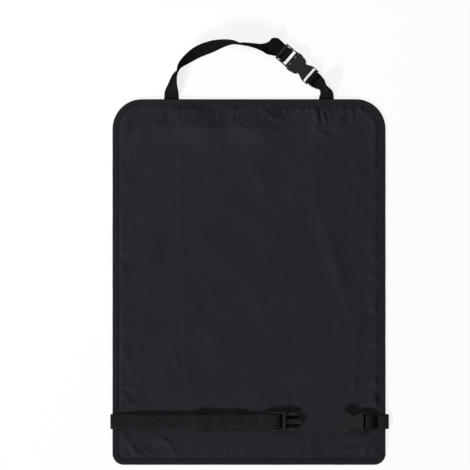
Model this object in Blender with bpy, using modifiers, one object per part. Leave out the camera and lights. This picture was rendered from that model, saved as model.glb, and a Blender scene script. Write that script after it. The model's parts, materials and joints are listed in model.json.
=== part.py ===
"""Seat back kick mat, lying face up on a flat surface.

A fabric panel with a bound edge, a strap with a closed buckle above it and a strap with an open
buckle across its foot. X runs across the mat, Y up its height and Z out of its face. The origin is
the middle of the mat's back. Everything is in metres.
"""

from math import cos, pi, radians, sin, sqrt

import bmesh
import bpy
from mathutils import Matrix, Vector

# The sheet and its bound edge
MAT_WIDTH = 0.460
MAT_HEIGHT = 0.616
TOP_CORNER_RADIUS = 0.050
BOTTOM_CORNER_RADIUS = 0.019
PANEL_THICKNESS = 0.0010
BINDING_WIDTH = 0.010
BINDING_THICKNESS = 0.0006

# The webbing and where it is sewn on
WEBBING_WIDTH = 0.025
WEBBING_THICKNESS = 0.0014
ANCHOR_LENGTH = 0.038
TOP_ANCHOR_SPACING = 0.261
BOTTOM_STRAP_HEIGHT = 0.073
LEFT_WRAP_SLACK = 0.0005
RIGHT_WRAP_SLACK = 0.0025
BOTTOM_TAIL_LENGTH = 0.121
BOTTOM_TAIL_DRIFT = 0.0035
TAIL_HEM = 0.012
TOP_TAIL_LENGTH = 0.025
TOP_TAIL_RISE = 0.0120
LOOP_RETURN = 0.013
TOP_LOOP_RETURN = 0.008

# The buckles' places, by the middle of the mouth: the top one across the mat and above its top
# edge, and the bottom one's halves in from the left and the right edge
TOP_BUCKLE_ACROSS = 0.0736
TOP_BUCKLE_ABOVE = 0.06485
TOP_BUCKLE_TURN = -40.9
BOTTOM_MALE_INSIDE = 0.2917
BOTTOM_FEMALE_INSIDE = 0.0725

# The buckle's male half, a frame with two bars for the webbing and three prongs
BUCKLE_THICKNESS = 0.0088
BUCKLE_WIDTH = 0.032
LADDER_WIDTH = 0.031
LADDER_THICKNESS = 0.0056
END_BAR = 0.0040
OUTER_SLOT = 0.0050
MIDDLE_BAR = 0.0060
INNER_SLOT = 0.0065
BASE_LENGTH = 0.0045
BAR_THICKNESS = 0.0026
END_BAR_LIFT = 0.0005
PRONG_THICKNESS = 0.0040
GUIDE_LENGTH = 0.0276
GUIDE_WIDTH = 0.0084
ARM_LENGTH = 0.0200

# The buckle's female half, a waisted socket with a fixed bar for the webbing
MOUTH_WIDTH = 0.0344
MOUTH_WALL = 0.0026
FLANGE_LENGTH = 0.0055
WAIST_WIDTH = 0.0208
HEEL_WIDTH = 0.0300
WAIST_DISTANCE = 0.0206
BODY_LENGTH = 0.0350
SOCKET_DEPTH = 0.0290
LOOP_SLOT = 0.0052
LOOP_BAR = 0.0040
HEEL_STRAIGHT = 0.0010
BUCKLE_ROUNDING = 0.0007
RAIL_OVERHANG = 0.0006
RAIL_SETBACK = 0.0005
WAIST_STEPS = 14

# The buckle's smaller shapes
BAR_ROUNDING = 0.00075
RAIL_ROUNDING = 0.0006
GUIDE_ROUNDING = 0.0009
ARM_ROUNDING = 0.0004
BAR_END_INSET = 0.0012
ROOT_OVERLAP = 0.0010
ARM_INNER_DISTANCE = 0.0096
ARM_BULGE = 0.0008
PAD_INSET = 0.0002
PAD_START = 0.0012
CUT_OVERSHOOT = 0.0020

# Clearances
GAP = 0.0003
SHEET_PLAY = 0.0005
SLOT_SIDE_PLAY = 0.0009
PRONG_PLAY = 0.0004

BINDING_MARGIN = 0.0015

# How the sheet lies: the reach of each rise into the sheet
RIM_REACH = 0.030
ANCHOR_REACH = 0.040
CREASE_HEIGHT = 0.0016
CREASE_REACH = 0.011

# How the webbing lies: its way round the mat's edge, over the tail's hem and up over the ladder
SEAM_SETBACK = 0.0040
TOP_EXIT = 0.0012
SIDE_EXIT = 0.0010
HEM_LEAD = 0.014
HEM_CLIMB = 0.010
LADDER_LEAD = 0.024
LADDER_CLIMB = 0.021
TAIL_LEVEL = 0.030
HEM_PLAY = 0.0001
BAR_APPROACH = 0.4

# Sizes that follow from the ones above
LAYER = WEBBING_THICKNESS + GAP
RIM_RISE = BINDING_THICKNESS + GAP
ANCHOR_RISE = LAYER
BINDING_OUTER_HEIGHT = PANEL_THICKNESS + 2 * (GAP + BINDING_THICKNESS)
STRAP_Y = BOTTOM_STRAP_HEIGHT - MAT_HEIGHT / 2
BAR_WRAP = BAR_THICKNESS / 2 + GAP + WEBBING_THICKNESS / 2
UNDER_STRAP = -BUCKLE_THICKNESS / 2 + WEBBING_THICKNESS / 2
LADDER_LENGTH = END_BAR + OUTER_SLOT + MIDDLE_BAR + INNER_SLOT + BASE_LENGTH
MIDDLE_BAR_FRONT = -(BASE_LENGTH + INNER_SLOT)
MIDDLE_BAR_BACK = MIDDLE_BAR_FRONT - MIDDLE_BAR
LOOP_BAR_START = BODY_LENGTH + LOOP_SLOT
LOOP_BAR_END = LOOP_BAR_START + LOOP_BAR
BOTTOM_MALE_X = BOTTOM_MALE_INSIDE - MAT_WIDTH / 2
BOTTOM_FEMALE_X = MAT_WIDTH / 2 - BOTTOM_FEMALE_INSIDE

# How finely the sheet is divided
SIDE_ROWS = 30
BOTTOM_CORNER_STEPS = 4
TOP_CORNER_STEPS = 7
OUTER_COLUMNS = (0.0, 0.100, 0.210, 0.330, 0.460, 0.600, 0.740, 0.850, 0.930, 1.0)
INNER_COLUMNS = (0.0, 0.060, 0.130, 0.250, 0.410, 0.600, 0.800, 1.0)

# The two packing folds, from the top edge down: height up the mat, distance across it, sharpness
LEFT_FOLD = (
    (0.308, -0.1135, 1.0),
    (0.110, -0.1130, 0.8),
    (-0.120, -0.1040, 0.3),
    (-0.262, -0.0750, 0.9),
    (-0.308, -0.0740, 0.9),
)
RIGHT_FOLD = (
    (0.308, 0.1110, 1.0),
    (0.138, 0.1030, 0.9),
    (-0.002, 0.1480, 0.7),
    (-0.064, 0.1700, 0.3),
    (-0.262, 0.1110, 0.8),
    (-0.308, 0.1110, 0.9),
)

# The top straps' routes: across the mat, above its top edge, and the webbing's roll in degrees
TOP_LONG_ROUTE = (
    (-0.1304, 0.0101, 16),
    (-0.1287, 0.0236, 50),
    (-0.1264, 0.0354, 69),
    (-0.1227, 0.0455, 90),
    (-0.1153, 0.0573, 105),
    (-0.1025, 0.0684, 122),
    (-0.0858, 0.0795, 141),
    (-0.0655, 0.0876, 141),
    (-0.0457, 0.0934, 121),
    (-0.0293, 0.0957, 104),
    (-0.0192, 0.0947, 92),
    (0.0022, 0.0915, 79),
    (0.0212, 0.0872, 60),
    (0.0330, 0.0858, 26),
    (0.0430, 0.0855, 4),
)
TOP_SHORT_ROUTE = (
    (0.1302, 0.0075, 18),
    (0.1280, 0.0135, 44),
    (0.1240, 0.0200, 58),
    (0.1185, 0.0260, 32),
)
ROUTE_STEPS = 4
ROUTE_HEADING = 0.010

# The cut end of the top strap's tail: how far out, how far up its rise and how wide, as shares
TOP_TAIL_SHAPE = (
    (0.18, 0.16, 1.0),
    (0.40, 0.44, 1.0),
    (0.64, 0.72, 1.0),
    (0.80, 0.87, 0.86),
    (0.94, 0.97, 0.62),
    (1.00, 1.00, 0.42),
)

# Each surface's colour and roughness
CLOTH = ((0.0205, 0.0195, 0.0252), 0.62)
TAPE = ((0.0130, 0.0125, 0.0150), 0.75)
WEBBING = ((0.0135, 0.0130, 0.0155), 0.70)
MOULDING = ((0.0210, 0.0210, 0.0215), 0.38)
SHARP_ANGLE = 35.0


for leftover in list(bpy.data.objects):
    bpy.data.objects.remove(leftover)
kick_mat = bpy.data.collections.new("seat back kick mat")
helpers = bpy.data.collections.new("cutters")
bpy.context.scene.collection.children.link(kick_mat)
bpy.context.scene.collection.children.link(helpers)


def ease(value):
    """0 up to 0, 1 from 1 on, and a smooth rise between them."""
    value = min(max(value, 0.0), 1.0)
    return value * value * (3.0 - 2.0 * value)


def between(stops, place):
    """The values that follow the first in each stop, read at a place between two stops."""
    for before, after in zip(stops, stops[1:]):
        if place >= after[0] or after is stops[-1]:
            share = (place - before[0]) / (after[0] - before[0])
            share = min(max(share, 0.0), 1.0)
            return [a + (b - a) * share for a, b in zip(before[1:], after[1:])]


def distance_inside(x, y):
    """How far a point of the sheet lies in from its rounded outline."""
    radius = TOP_CORNER_RADIUS if y > 0 else BOTTOM_CORNER_RADIUS
    past_x = abs(x) - (MAT_WIDTH / 2 - radius)
    past_y = abs(y) - (MAT_HEIGHT / 2 - radius)
    if past_x > 0 and past_y > 0:
        return radius - sqrt(past_x**2 + past_y**2)
    return min(MAT_WIDTH / 2 - abs(x), MAT_HEIGHT / 2 - abs(y))


def anchor_rise(x, y):
    """How far the webbing sewn behind the sheet holds it up there."""
    half_across = WEBBING_WIDTH / 2 + BOTTOM_TAIL_DRIFT
    beside_top = max(abs(abs(x) - TOP_ANCHOR_SPACING / 2) - half_across, 0.0)
    below_top = max(MAT_HEIGHT / 2 - ANCHOR_LENGTH - y, 0.0)
    beside_bottom = max(abs(y - STRAP_Y) - half_across, 0.0)
    inside_bottom = max(MAT_WIDTH / 2 - ANCHOR_LENGTH - abs(x), 0.0)
    nearest = min(sqrt(beside_top**2 + below_top**2), sqrt(beside_bottom**2 + inside_bottom**2))
    return ANCHOR_RISE * ease(1.0 - nearest / ANCHOR_REACH)


def fold_rise(x, y):
    """The height of the packing folds, which the binding and the bottom strap press flat."""
    height = 0.0
    for fold in (LEFT_FOLD, RIGHT_FOLD):
        across, sharpness = between(fold, y)
        height = max(height, sharpness * (1.0 - ease(abs(x - across) / CREASE_REACH)))
    off_binding = ease((distance_inside(x, y) - BINDING_WIDTH - BINDING_MARGIN) / BINDING_WIDTH)
    off_strap = ease((abs(y - STRAP_Y) - BUCKLE_WIDTH / 2) / BUCKLE_WIDTH)
    return CREASE_HEIGHT * height * off_binding * off_strap


def back_height(x, y):
    """The height of the sheet's back above the surface it lies on."""
    flat_rim = BINDING_WIDTH + BINDING_MARGIN
    rim = ease((RIM_REACH - distance_inside(x, y)) / (RIM_REACH - flat_rim))
    return RIM_RISE * rim + anchor_rise(x, y) + fold_rise(x, y)


def face_height(x, y):
    """The height of what a strap lies on: the sheet's face, or the binding's near the edge."""
    on_binding = distance_inside(x, y) < BINDING_WIDTH + BINDING_MARGIN
    return back_height(x, y) + PANEL_THICKNESS + (GAP + BINDING_THICKNESS if on_binding else 0.0)


def sheet_rows():
    """The sheet's rows from bottom to top, each an arc's angle in a corner or a height on the sides."""
    low = -MAT_HEIGHT / 2 + BOTTOM_CORNER_RADIUS
    high = MAT_HEIGHT / 2 - TOP_CORNER_RADIUS
    rows = [("bottom", pi / 2 * step / BOTTOM_CORNER_STEPS) for step in range(BOTTOM_CORNER_STEPS)]
    rows += [("side", low + (high - low) * step / SIDE_ROWS) for step in range(SIDE_ROWS)]
    rows += [("top", pi / 2 * step / TOP_CORNER_STEPS) for step in range(TOP_CORNER_STEPS + 1)]
    return rows


def row_ends(row, inset):
    """The height and half-width of one row of an outline this far inside the mat's."""
    kind, value = row
    if kind == "side":
        return value, MAT_WIDTH / 2 - inset
    if kind == "bottom":
        radius = BOTTOM_CORNER_RADIUS
        height = -MAT_HEIGHT / 2 + radius - (radius - inset) * cos(value)
        return height, MAT_WIDTH / 2 - radius + (radius - inset) * sin(value)
    radius = TOP_CORNER_RADIUS
    height = MAT_HEIGHT / 2 - radius + (radius - inset) * sin(value)
    return height, MAT_WIDTH / 2 - radius + (radius - inset) * cos(value)


def row_points(row, inset):
    """The points of one row, left to right, with columns that gather along the two folds."""
    y, half_width = row_ends(row, inset)
    left = between(LEFT_FOLD, y)[0]
    right = between(RIGHT_FOLD, y)[0]
    xs = [-half_width + (left + half_width) * share for share in OUTER_COLUMNS]
    xs += [left - left * share for share in INNER_COLUMNS[1:]]
    xs += [right - right * share for share in reversed(INNER_COLUMNS[:-1])]
    xs += [half_width + (right - half_width) * share for share in reversed(OUTER_COLUMNS[:-1])]
    return [(x, y) for x in xs]


def sheet_outline(inset):
    """The outline's points in order, on the same stations whatever the inset."""
    rows = sheet_rows()
    ends = [row_ends(row, inset) for row in rows]
    right_side = [(half_width, y) for y, half_width in ends]
    left_side = [(-half_width, y) for y, half_width in reversed(ends)]
    top = row_points(rows[-1], inset)[-2:0:-1]
    bottom = row_points(rows[0], inset)[1:-1]
    return right_side + top + left_side + bottom


def cover(obj, colour, roughness):
    """The object's own material in place of any it has."""
    surface = bpy.data.materials.new(f"{obj.name} surface")
    surface.use_nodes = True
    shader = surface.node_tree.nodes["Principled BSDF"]
    shader.inputs["Base Color"].default_value = (*colour, 1.0)
    shader.inputs["Roughness"].default_value = roughness
    shader.inputs["Metallic"].default_value = 0.0
    surface.diffuse_color = (*colour, 1.0)
    obj.data.materials.clear()
    obj.data.materials.append(surface)


def place(obj, target):
    target.objects.link(obj)
    if target is helpers:
        obj.hide_render = True
        obj.display_type = "WIRE"
    return obj


def mesh_object(name, bm, target):
    bmesh.ops.recalc_face_normals(bm, faces=bm.faces)
    mesh = bpy.data.meshes.new(name)
    bm.to_mesh(mesh)
    bm.free()
    return place(bpy.data.objects.new(name, mesh), target)


def as_mesh(curve_object):
    """A mesh in place of a curve object, with its caps joined to its sides."""
    bpy.context.view_layer.update()
    graph = bpy.context.evaluated_depsgraph_get()
    mesh = bpy.data.meshes.new_from_object(curve_object.evaluated_get(graph))
    name = curve_object.name
    target = curve_object.users_collection[0]
    bpy.data.objects.remove(curve_object)
    bm = bmesh.new()
    bm.from_mesh(mesh)
    bpy.data.meshes.remove(mesh)
    bmesh.ops.remove_doubles(bm, verts=bm.verts, dist=0.00001)
    return mesh_object(name, bm, target)


def block(name, low, high, rounding):
    """A rounded block between two corners."""
    bm = bmesh.new()
    size = Vector(high) - Vector(low)
    middle = (Vector(high) + Vector(low)) / 2
    stretch = Matrix.Translation(middle) @ Matrix.Diagonal((*size, 1.0))
    bmesh.ops.create_cube(bm, size=1.0, matrix=stretch)
    if rounding:
        bmesh.ops.bevel(bm, geom=bm.edges[:], offset=rounding, segments=2, affect="EDGES", profile=0.5)
    return mesh_object(name, bm, helpers)


def centred_block(name, start, end, width, thickness, rounding):
    """A rounded block from one reach along x to another, centred on y = 0 and z = 0."""
    low = (start, -width / 2, -thickness / 2)
    high = (end, width / 2, thickness / 2)
    return block(name, low, high, rounding)


def plate(name, outline, thickness, rounding):
    """A flat outline given a thickness and rounded edges."""
    curve = bpy.data.curves.new(name, "CURVE")
    curve.dimensions = "2D"
    curve.fill_mode = "BOTH"
    curve.extrude = thickness / 2 - rounding
    curve.bevel_depth = rounding
    curve.bevel_resolution = 1
    curve.offset = -rounding
    spline = curve.splines.new("POLY")
    spline.points.add(len(outline) - 1)
    for point, (x, y) in zip(spline.points, outline):
        point.co = (x, y, 0.0, 1.0)
    spline.use_cyclic_u = True
    return as_mesh(place(bpy.data.objects.new(name, curve), helpers))


def combine(obj, others, operation):
    for other in others:
        modifier = obj.modifiers.new(f"{operation.lower()} {other.name}", "BOOLEAN")
        modifier.operation = operation
        modifier.solver = "EXACT"
        modifier.object = other


def finished(obj, name, frame):
    """The object with its modifiers applied, set in its place under its own name."""
    bpy.context.view_layer.update()
    graph = bpy.context.evaluated_depsgraph_get()
    mesh = bpy.data.meshes.new_from_object(obj.evaluated_get(graph))
    bm = bmesh.new()
    bm.from_mesh(mesh)
    bmesh.ops.remove_doubles(bm, verts=bm.verts, dist=0.00001)
    bmesh.ops.dissolve_degenerate(bm, edges=bm.edges, dist=0.00001)
    bm.to_mesh(mesh)
    bm.free()
    done = place(bpy.data.objects.new(name, mesh), kick_mat)
    done.matrix_world = frame
    cover(done, *MOULDING)
    mesh.shade_smooth()
    mesh.set_sharp_from_angle(angle=radians(SHARP_ANGLE))
    return done


def make_panel():
    rows = sheet_rows()
    inset = BINDING_THICKNESS + 2 * GAP
    lines = [row_points(row, inset) for row in rows]
    bm = bmesh.new()
    bmesh.ops.create_grid(bm, x_segments=len(lines[0]) - 1, y_segments=len(lines) - 1, size=1.0)
    for vertex in bm.verts:
        column = round((vertex.co.x + 1) / 2 * (len(lines[0]) - 1))
        row = round((vertex.co.y + 1) / 2 * (len(lines) - 1))
        x, y = lines[row][column]
        vertex.co = (x, y, back_height(x, y))
    panel = mesh_object("mat_panel", bm, kick_mat)
    if panel.data.polygons[0].normal.z < 0:
        panel.data.flip_normals()
    solid = panel.modifiers.new("cloth thickness", "SOLIDIFY")
    solid.thickness = PANEL_THICKNESS
    solid.offset = 1.0
    cover(panel, *CLOTH)
    panel.data.shade_smooth()


def binding_profile():
    """The tape's section folded round the edge, from the edge inwards and from the sheet's back up."""
    middle = PANEL_THICKNESS / 2
    outer = BINDING_OUTER_HEIGHT / 2
    inner = outer - BINDING_THICKNESS
    around = [pi * 1.5 - pi * step / 4 for step in range(5)]
    section = [(BINDING_WIDTH, middle - outer)]
    section += [(outer + outer * cos(turn), middle + outer * sin(turn)) for turn in around]
    section += [(BINDING_WIDTH, middle + outer), (BINDING_WIDTH, middle + inner)]
    section += [(outer, middle + inner), (outer - inner, middle + inner * 0.6)]
    section += [(outer - inner, middle - inner * 0.6), (outer, middle - inner)]
    section.append((BINDING_WIDTH, middle - inner))
    return section


def lofted(name, sections, is_ring):
    """A solid through sections that all have as many points."""
    bm = bmesh.new()
    rings = [[bm.verts.new(point) for point in section] for section in sections]
    pairs = list(zip(rings, rings[1:]))
    if is_ring:
        pairs.append((rings[-1], rings[0]))
    for ring, following in pairs:
        for index in range(len(ring)):
            after = (index + 1) % len(ring)
            bm.faces.new((ring[index], ring[after], following[after], following[index]))
    if not is_ring:
        bm.faces.new(reversed(rings[0]))
        bm.faces.new(rings[-1])
    obj = mesh_object(name, bm, kick_mat)
    obj.data.shade_smooth()
    obj.data.set_sharp_from_angle(angle=radians(SHARP_ANGLE))
    return obj


def make_binding():
    edge = sheet_outline(0.0)
    inside = sheet_outline(BINDING_THICKNESS)
    sections = []
    for (x, y), (inner_x, inner_y) in zip(edge, inside):
        inwards = Vector((inner_x - x, inner_y - y, 0.0)).normalized()
        foot = Vector((x, y, back_height(x, y)))
        section = [foot + inwards * reach + Vector((0, 0, up)) for reach, up in binding_profile()]
        sections.append(section)
    cover(lofted("edge_binding", sections, True), *TAPE)


def webbing(name, route):
    """A band of webbing along a route of places, directions across the band and widths."""
    sections = []
    for index, (centre, across, width) in enumerate(route):
        before = route[max(index - 1, 0)][0]
        after = route[min(index + 1, len(route) - 1)][0]
        through = (after - before).normalized().cross(across).normalized()
        side = across.normalized() * width / 2
        skin = through * WEBBING_THICKNESS / 2
        low, high = centre - skin, centre + skin
        sections.append([low - side, low + side, high + side, high - side])
    cover(lofted(name, sections, False), *WEBBING)


def spaced(start, end, steps):
    """Evenly spaced values from start to end."""
    return [start + (end - start) * step / steps for step in range(steps + 1)]


def arc(centre, radius, start, end, steps):
    """Points (x, z) round a centre, from one angle in degrees to another."""
    turns = [radians(turn) for turn in spaced(start, end, steps)]
    return [(centre[0] + radius * cos(turn), centre[1] + radius * sin(turn)) for turn in turns]


def ladder_route():
    """The webbing's way under the ladder, round its middle bar and back out, in the buckle's frame."""
    front = MIDDLE_BAR_FRONT - BAR_THICKNESS / 2
    back = MIDDLE_BAR_BACK + BAR_THICKNESS / 2
    tail = UNDER_STRAP + LAYER
    rising = UNDER_STRAP + (-BAR_WRAP - UNDER_STRAP) * BAR_APPROACH
    points = [(-LADDER_LENGTH, UNDER_STRAP), (MIDDLE_BAR_BACK - LAYER, UNDER_STRAP)]
    points.append(((front + back) / 2, rising))
    points += arc((front, 0.0), BAR_WRAP, -90, 90, 8)
    points += arc((back, 0.0), BAR_WRAP, 90, 180, 4)
    points += arc((back - BAR_WRAP - LAYER, tail + LAYER), LAYER, 0, -90, 4)
    points.append((-LADDER_LENGTH, tail))
    return points


def loop_route(entry, reach):
    """The webbing's way from under the fixed bar round it and back over itself, in the buckle's frame."""
    centre = (LOOP_BAR_START + BAR_THICKNESS / 2, 0.0)
    points = [entry, (LOOP_BAR_END, -BAR_WRAP)]
    points += arc(centre, BAR_WRAP, -90, -270, 8)
    points += [(LOOP_BAR_END, BAR_WRAP), (LOOP_BAR_END + reach, entry[1] + LAYER)]
    return points


def flat(points, frame, across):
    """Route stations from points (x, z) in a frame, all with one direction across."""
    return [(frame @ Vector((x, 0.0, z)), across, WEBBING_WIDTH) for x, z in points]


def rolled(controls, leaving):
    """Route stations through controls, with the band's low edge kept on the surface below it."""
    stations = []
    controls = [(x, MAT_HEIGHT / 2 + above, roll) for x, above, roll in controls]
    x, y, roll = controls[0]
    first = (x, y - ROUTE_HEADING, roll)
    x, y, roll = controls[-1]
    last = (x + leaving.x * ROUTE_HEADING, y + leaving.y * ROUTE_HEADING, roll)
    line = [first, *controls, last]
    for index in range(1, len(line) - 2):
        p0, p1, p2, p3 = (Vector(point) for point in line[index - 1 : index + 3])
        for step in range(ROUTE_STEPS):
            t = step / ROUTE_STEPS
            squared = (2 * p0 - 5 * p1 + 4 * p2 - p3) * t**2
            cubed = (3 * p1 - p0 - 3 * p2 + p3) * t**3
            stations.append((2 * p1 + (p2 - p0) * t + squared + cubed) / 2)
    stations.append(Vector(line[-2]))
    route = []
    for index, (x, y, roll) in enumerate(stations):
        before = stations[max(index - 1, 0)]
        after = stations[min(index + 1, len(stations) - 1)]
        ahead = Vector((after.x - before.x, after.y - before.y, 0.0)).normalized()
        turn = radians(roll)
        across = Vector((ahead.y, -ahead.x, 0.0)) * cos(turn) + Vector((0, 0, 1)) * sin(turn)
        height = abs(sin(turn)) * WEBBING_WIDTH / 2 + abs(cos(turn)) * WEBBING_THICKNESS / 2
        route.append((Vector((x, y, height)), across, WEBBING_WIDTH))
    return route


def make_male(name, frame):
    """The half with the ladder lock: its mouth face is at x = 0 and its prongs point along +x."""
    bar_width = LADDER_WIDTH - 2 * BAR_END_INSET
    half_bar = BAR_THICKNESS / 2
    half_rail = LADDER_THICKNESS / 2
    male = centred_block(f"{name} base", -BASE_LENGTH, 0.0, BUCKLE_WIDTH, BUCKLE_THICKNESS, BUCKLE_ROUNDING)
    low = (-LADDER_LENGTH, -bar_width / 2, END_BAR_LIFT - half_bar)
    high = (-LADDER_LENGTH + END_BAR, bar_width / 2, END_BAR_LIFT + half_bar)
    others = [
        block(f"{name} end bar", low, high, BAR_ROUNDING),
        centred_block(
            f"{name} middle bar", MIDDLE_BAR_BACK, MIDDLE_BAR_FRONT, bar_width, BAR_THICKNESS, BAR_ROUNDING
        ),
        centred_block(
            f"{name} guide", -ROOT_OVERLAP, GUIDE_LENGTH, GUIDE_WIDTH, PRONG_THICKNESS, GUIDE_ROUNDING
        ),
    ]
    for side in (-1, 1):
        inner, outer = sorted((side * (WEBBING_WIDTH / 2 + SLOT_SIDE_PLAY), side * LADDER_WIDTH / 2))
        low = (-LADDER_LENGTH, inner, -half_rail)
        high = (-ROOT_OVERLAP, outer, half_rail)
        others.append(block(f"{name} rail {side}", low, high, RAIL_ROUNDING))
        outline = [(x, side * y) for x, y in arm_outline()]
        others.append(plate(f"{name} arm {side}", outline[::side], PRONG_THICKNESS, ARM_ROUNDING))
    combine(male, others, "UNION")
    return finished(male, name, frame)


def arm_outline():
    """One sprung arm: a root inside the mouth, then a shoulder and a rounded pad outside it."""
    tip = ARM_LENGTH
    pad = BUCKLE_WIDTH / 2 - PAD_INSET
    inner = ARM_INNER_DISTANCE
    mouth = MOUTH_WIDTH / 2 - MOUTH_WALL - PRONG_PLAY * 2
    shoulder = FLANGE_LENGTH + PAD_START
    return [
        (-ROOT_OVERLAP, inner),
        (tip * 0.55, inner + ARM_BULGE),
        (tip * 0.93, inner + ARM_BULGE / 2),
        (tip, inner + ARM_BULGE * 2),
        (tip * 0.96, inner + ARM_BULGE * 4),
        (tip * 0.80, pad - ARM_BULGE),
        (tip * 0.62, pad),
        (shoulder, pad - ARM_BULGE / 2),
        (shoulder - ARM_BULGE, mouth),
        (-ROOT_OVERLAP, mouth - ARM_BULGE / 2),
    ]


def female_half_width(x):
    """The socket's waisted outline, from its mouth to its heel."""
    if x < WAIST_DISTANCE:
        share = ease((WAIST_DISTANCE - x) / (WAIST_DISTANCE - FLANGE_LENGTH))
        return (WAIST_WIDTH + (MOUTH_WIDTH - WAIST_WIDTH) * share) / 2
    share = ease((x - WAIST_DISTANCE) / (BODY_LENGTH - HEEL_STRAIGHT - WAIST_DISTANCE))
    return (WAIST_WIDTH + (HEEL_WIDTH - WAIST_WIDTH) * share) / 2


def make_female(name, frame):
    """The half with the socket: its mouth is at x = 0 and its fixed bar is at the far end."""
    along = spaced(FLANGE_LENGTH - BUCKLE_ROUNDING, BODY_LENGTH, WAIST_STEPS)
    side = [(GAP, MOUTH_WIDTH / 2)] + [(x, female_half_width(x)) for x in along]
    side.append((LOOP_BAR_END + RAIL_OVERHANG, HEEL_WIDTH / 2))
    outline = side + [(x, -y) for x, y in reversed(side)]
    female = plate(f"{name} body", outline[::-1], BUCKLE_THICKNESS, BUCKLE_ROUNDING)
    socket = PRONG_THICKNESS + 2 * PRONG_PLAY
    mouth = MOUTH_WIDTH - 2 * MOUTH_WALL
    slot = WEBBING_WIDTH + 2 * SLOT_SIDE_PLAY
    past = LOOP_BAR_END + CUT_OVERSHOOT
    wide = MOUTH_WIDTH
    deep = BUCKLE_THICKNESS
    rails = BODY_LENGTH + RAIL_SETBACK
    rail = LADDER_THICKNESS / 2
    cutters = [
        centred_block(f"{name} mouth", -CUT_OVERSHOOT, FLANGE_LENGTH + GAP, mouth, socket, 0.0),
        centred_block(f"{name} socket", FLANGE_LENGTH, SOCKET_DEPTH, 2 * wide, socket, 0.0),
        centred_block(f"{name} slot", BODY_LENGTH, past, slot, 2 * deep, 0.0),
        block(f"{name} above rails", (rails, -wide, rail), (past, wide, deep), 0.0),
        block(f"{name} below rails", (rails, -wide, -deep), (past, wide, -rail), 0.0),
    ]
    combine(female, cutters, "DIFFERENCE")
    bar_width = HEEL_WIDTH - 2 * BAR_END_INSET
    fixed_bar = centred_block(
        f"{name} bar", LOOP_BAR_START, LOOP_BAR_END, bar_width, BAR_THICKNESS, BAR_ROUNDING
    )
    combine(female, [fixed_bar], "UNION")
    return finished(female, name, frame)


def male_frame_bottom():
    """The open male half lies on its face, so that its ladder is turned over."""
    sheet = face_height(BOTTOM_MALE_X - LADDER_LENGTH, STRAP_Y)
    middle = (BOTTOM_MALE_X, STRAP_Y, sheet + SHEET_PLAY + BUCKLE_THICKNESS / 2)
    return Matrix.Translation(middle) @ Matrix.Rotation(pi, 4, "X")


def female_frame_bottom():
    """The open female half lies level, with its heel on the rising sheet."""
    heel = face_height(BOTTOM_FEMALE_X + BODY_LENGTH, STRAP_Y)
    height = heel + SHEET_PLAY + BUCKLE_THICKNESS / 2
    return Matrix.Translation((BOTTOM_FEMALE_X, STRAP_Y, height))


def behind_top(x):
    """The sewn end behind the top edge, up to the edge."""
    top = MAT_HEIGHT / 2
    across = Vector((1, 0, 0))
    route = []
    for y in (top - ANCHOR_LENGTH, top - SEAM_SETBACK, top + TOP_EXIT):
        route.append((Vector((x, y, WEBBING_THICKNESS / 2)), across, WEBBING_WIDTH))
    return route


def make_top_long(frame):
    ahead = frame.to_3x3() @ Vector((1, 0, 0))
    across = frame.to_3x3() @ Vector((0, -1, 0))
    route = behind_top(-TOP_ANCHOR_SPACING / 2)
    route += rolled(TOP_LONG_ROUTE, ahead)
    route += flat(ladder_route(), frame, across)
    for reach, lift, share in TOP_TAIL_SHAPE:
        height = UNDER_STRAP + LAYER + TOP_TAIL_RISE * lift
        point = Vector((-LADDER_LENGTH - TOP_TAIL_LENGTH * reach, 0.0, height))
        route.append((frame @ point, across, WEBBING_WIDTH * share))
    webbing("top_strap_long", route)


def make_top_short(frame):
    back = frame.to_3x3() @ Vector((-1, 0, 0))
    across = frame.to_3x3() @ Vector((0, 1, 0))
    route = behind_top(TOP_ANCHOR_SPACING / 2)
    route += rolled(TOP_SHORT_ROUTE, back)
    entry = (LOOP_BAR_END + TOP_LOOP_RETURN, UNDER_STRAP)
    route += flat(loop_route(entry, TOP_LOOP_RETURN), frame, across)
    webbing("top_strap_short", route)


def wrap(side, slack):
    """The webbing's way from behind the mat round its edge, as (x, z)."""
    edge = MAT_WIDTH / 2
    low = WEBBING_THICKNESS / 2
    high = face_height(edge - BINDING_WIDTH / 2, STRAP_Y) + GAP + WEBBING_THICKNESS / 2
    middle = (low + high) / 2
    points = [(edge - ANCHOR_LENGTH, low), (edge - SIDE_EXIT, low)]
    points += arc((edge + slack, middle), high - middle, -90, 90, 8)
    points += [(edge - SIDE_EXIT, high), (edge - BINDING_WIDTH - BINDING_MARGIN, high)]
    return [(side * x, z) for x, z in points]


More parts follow.
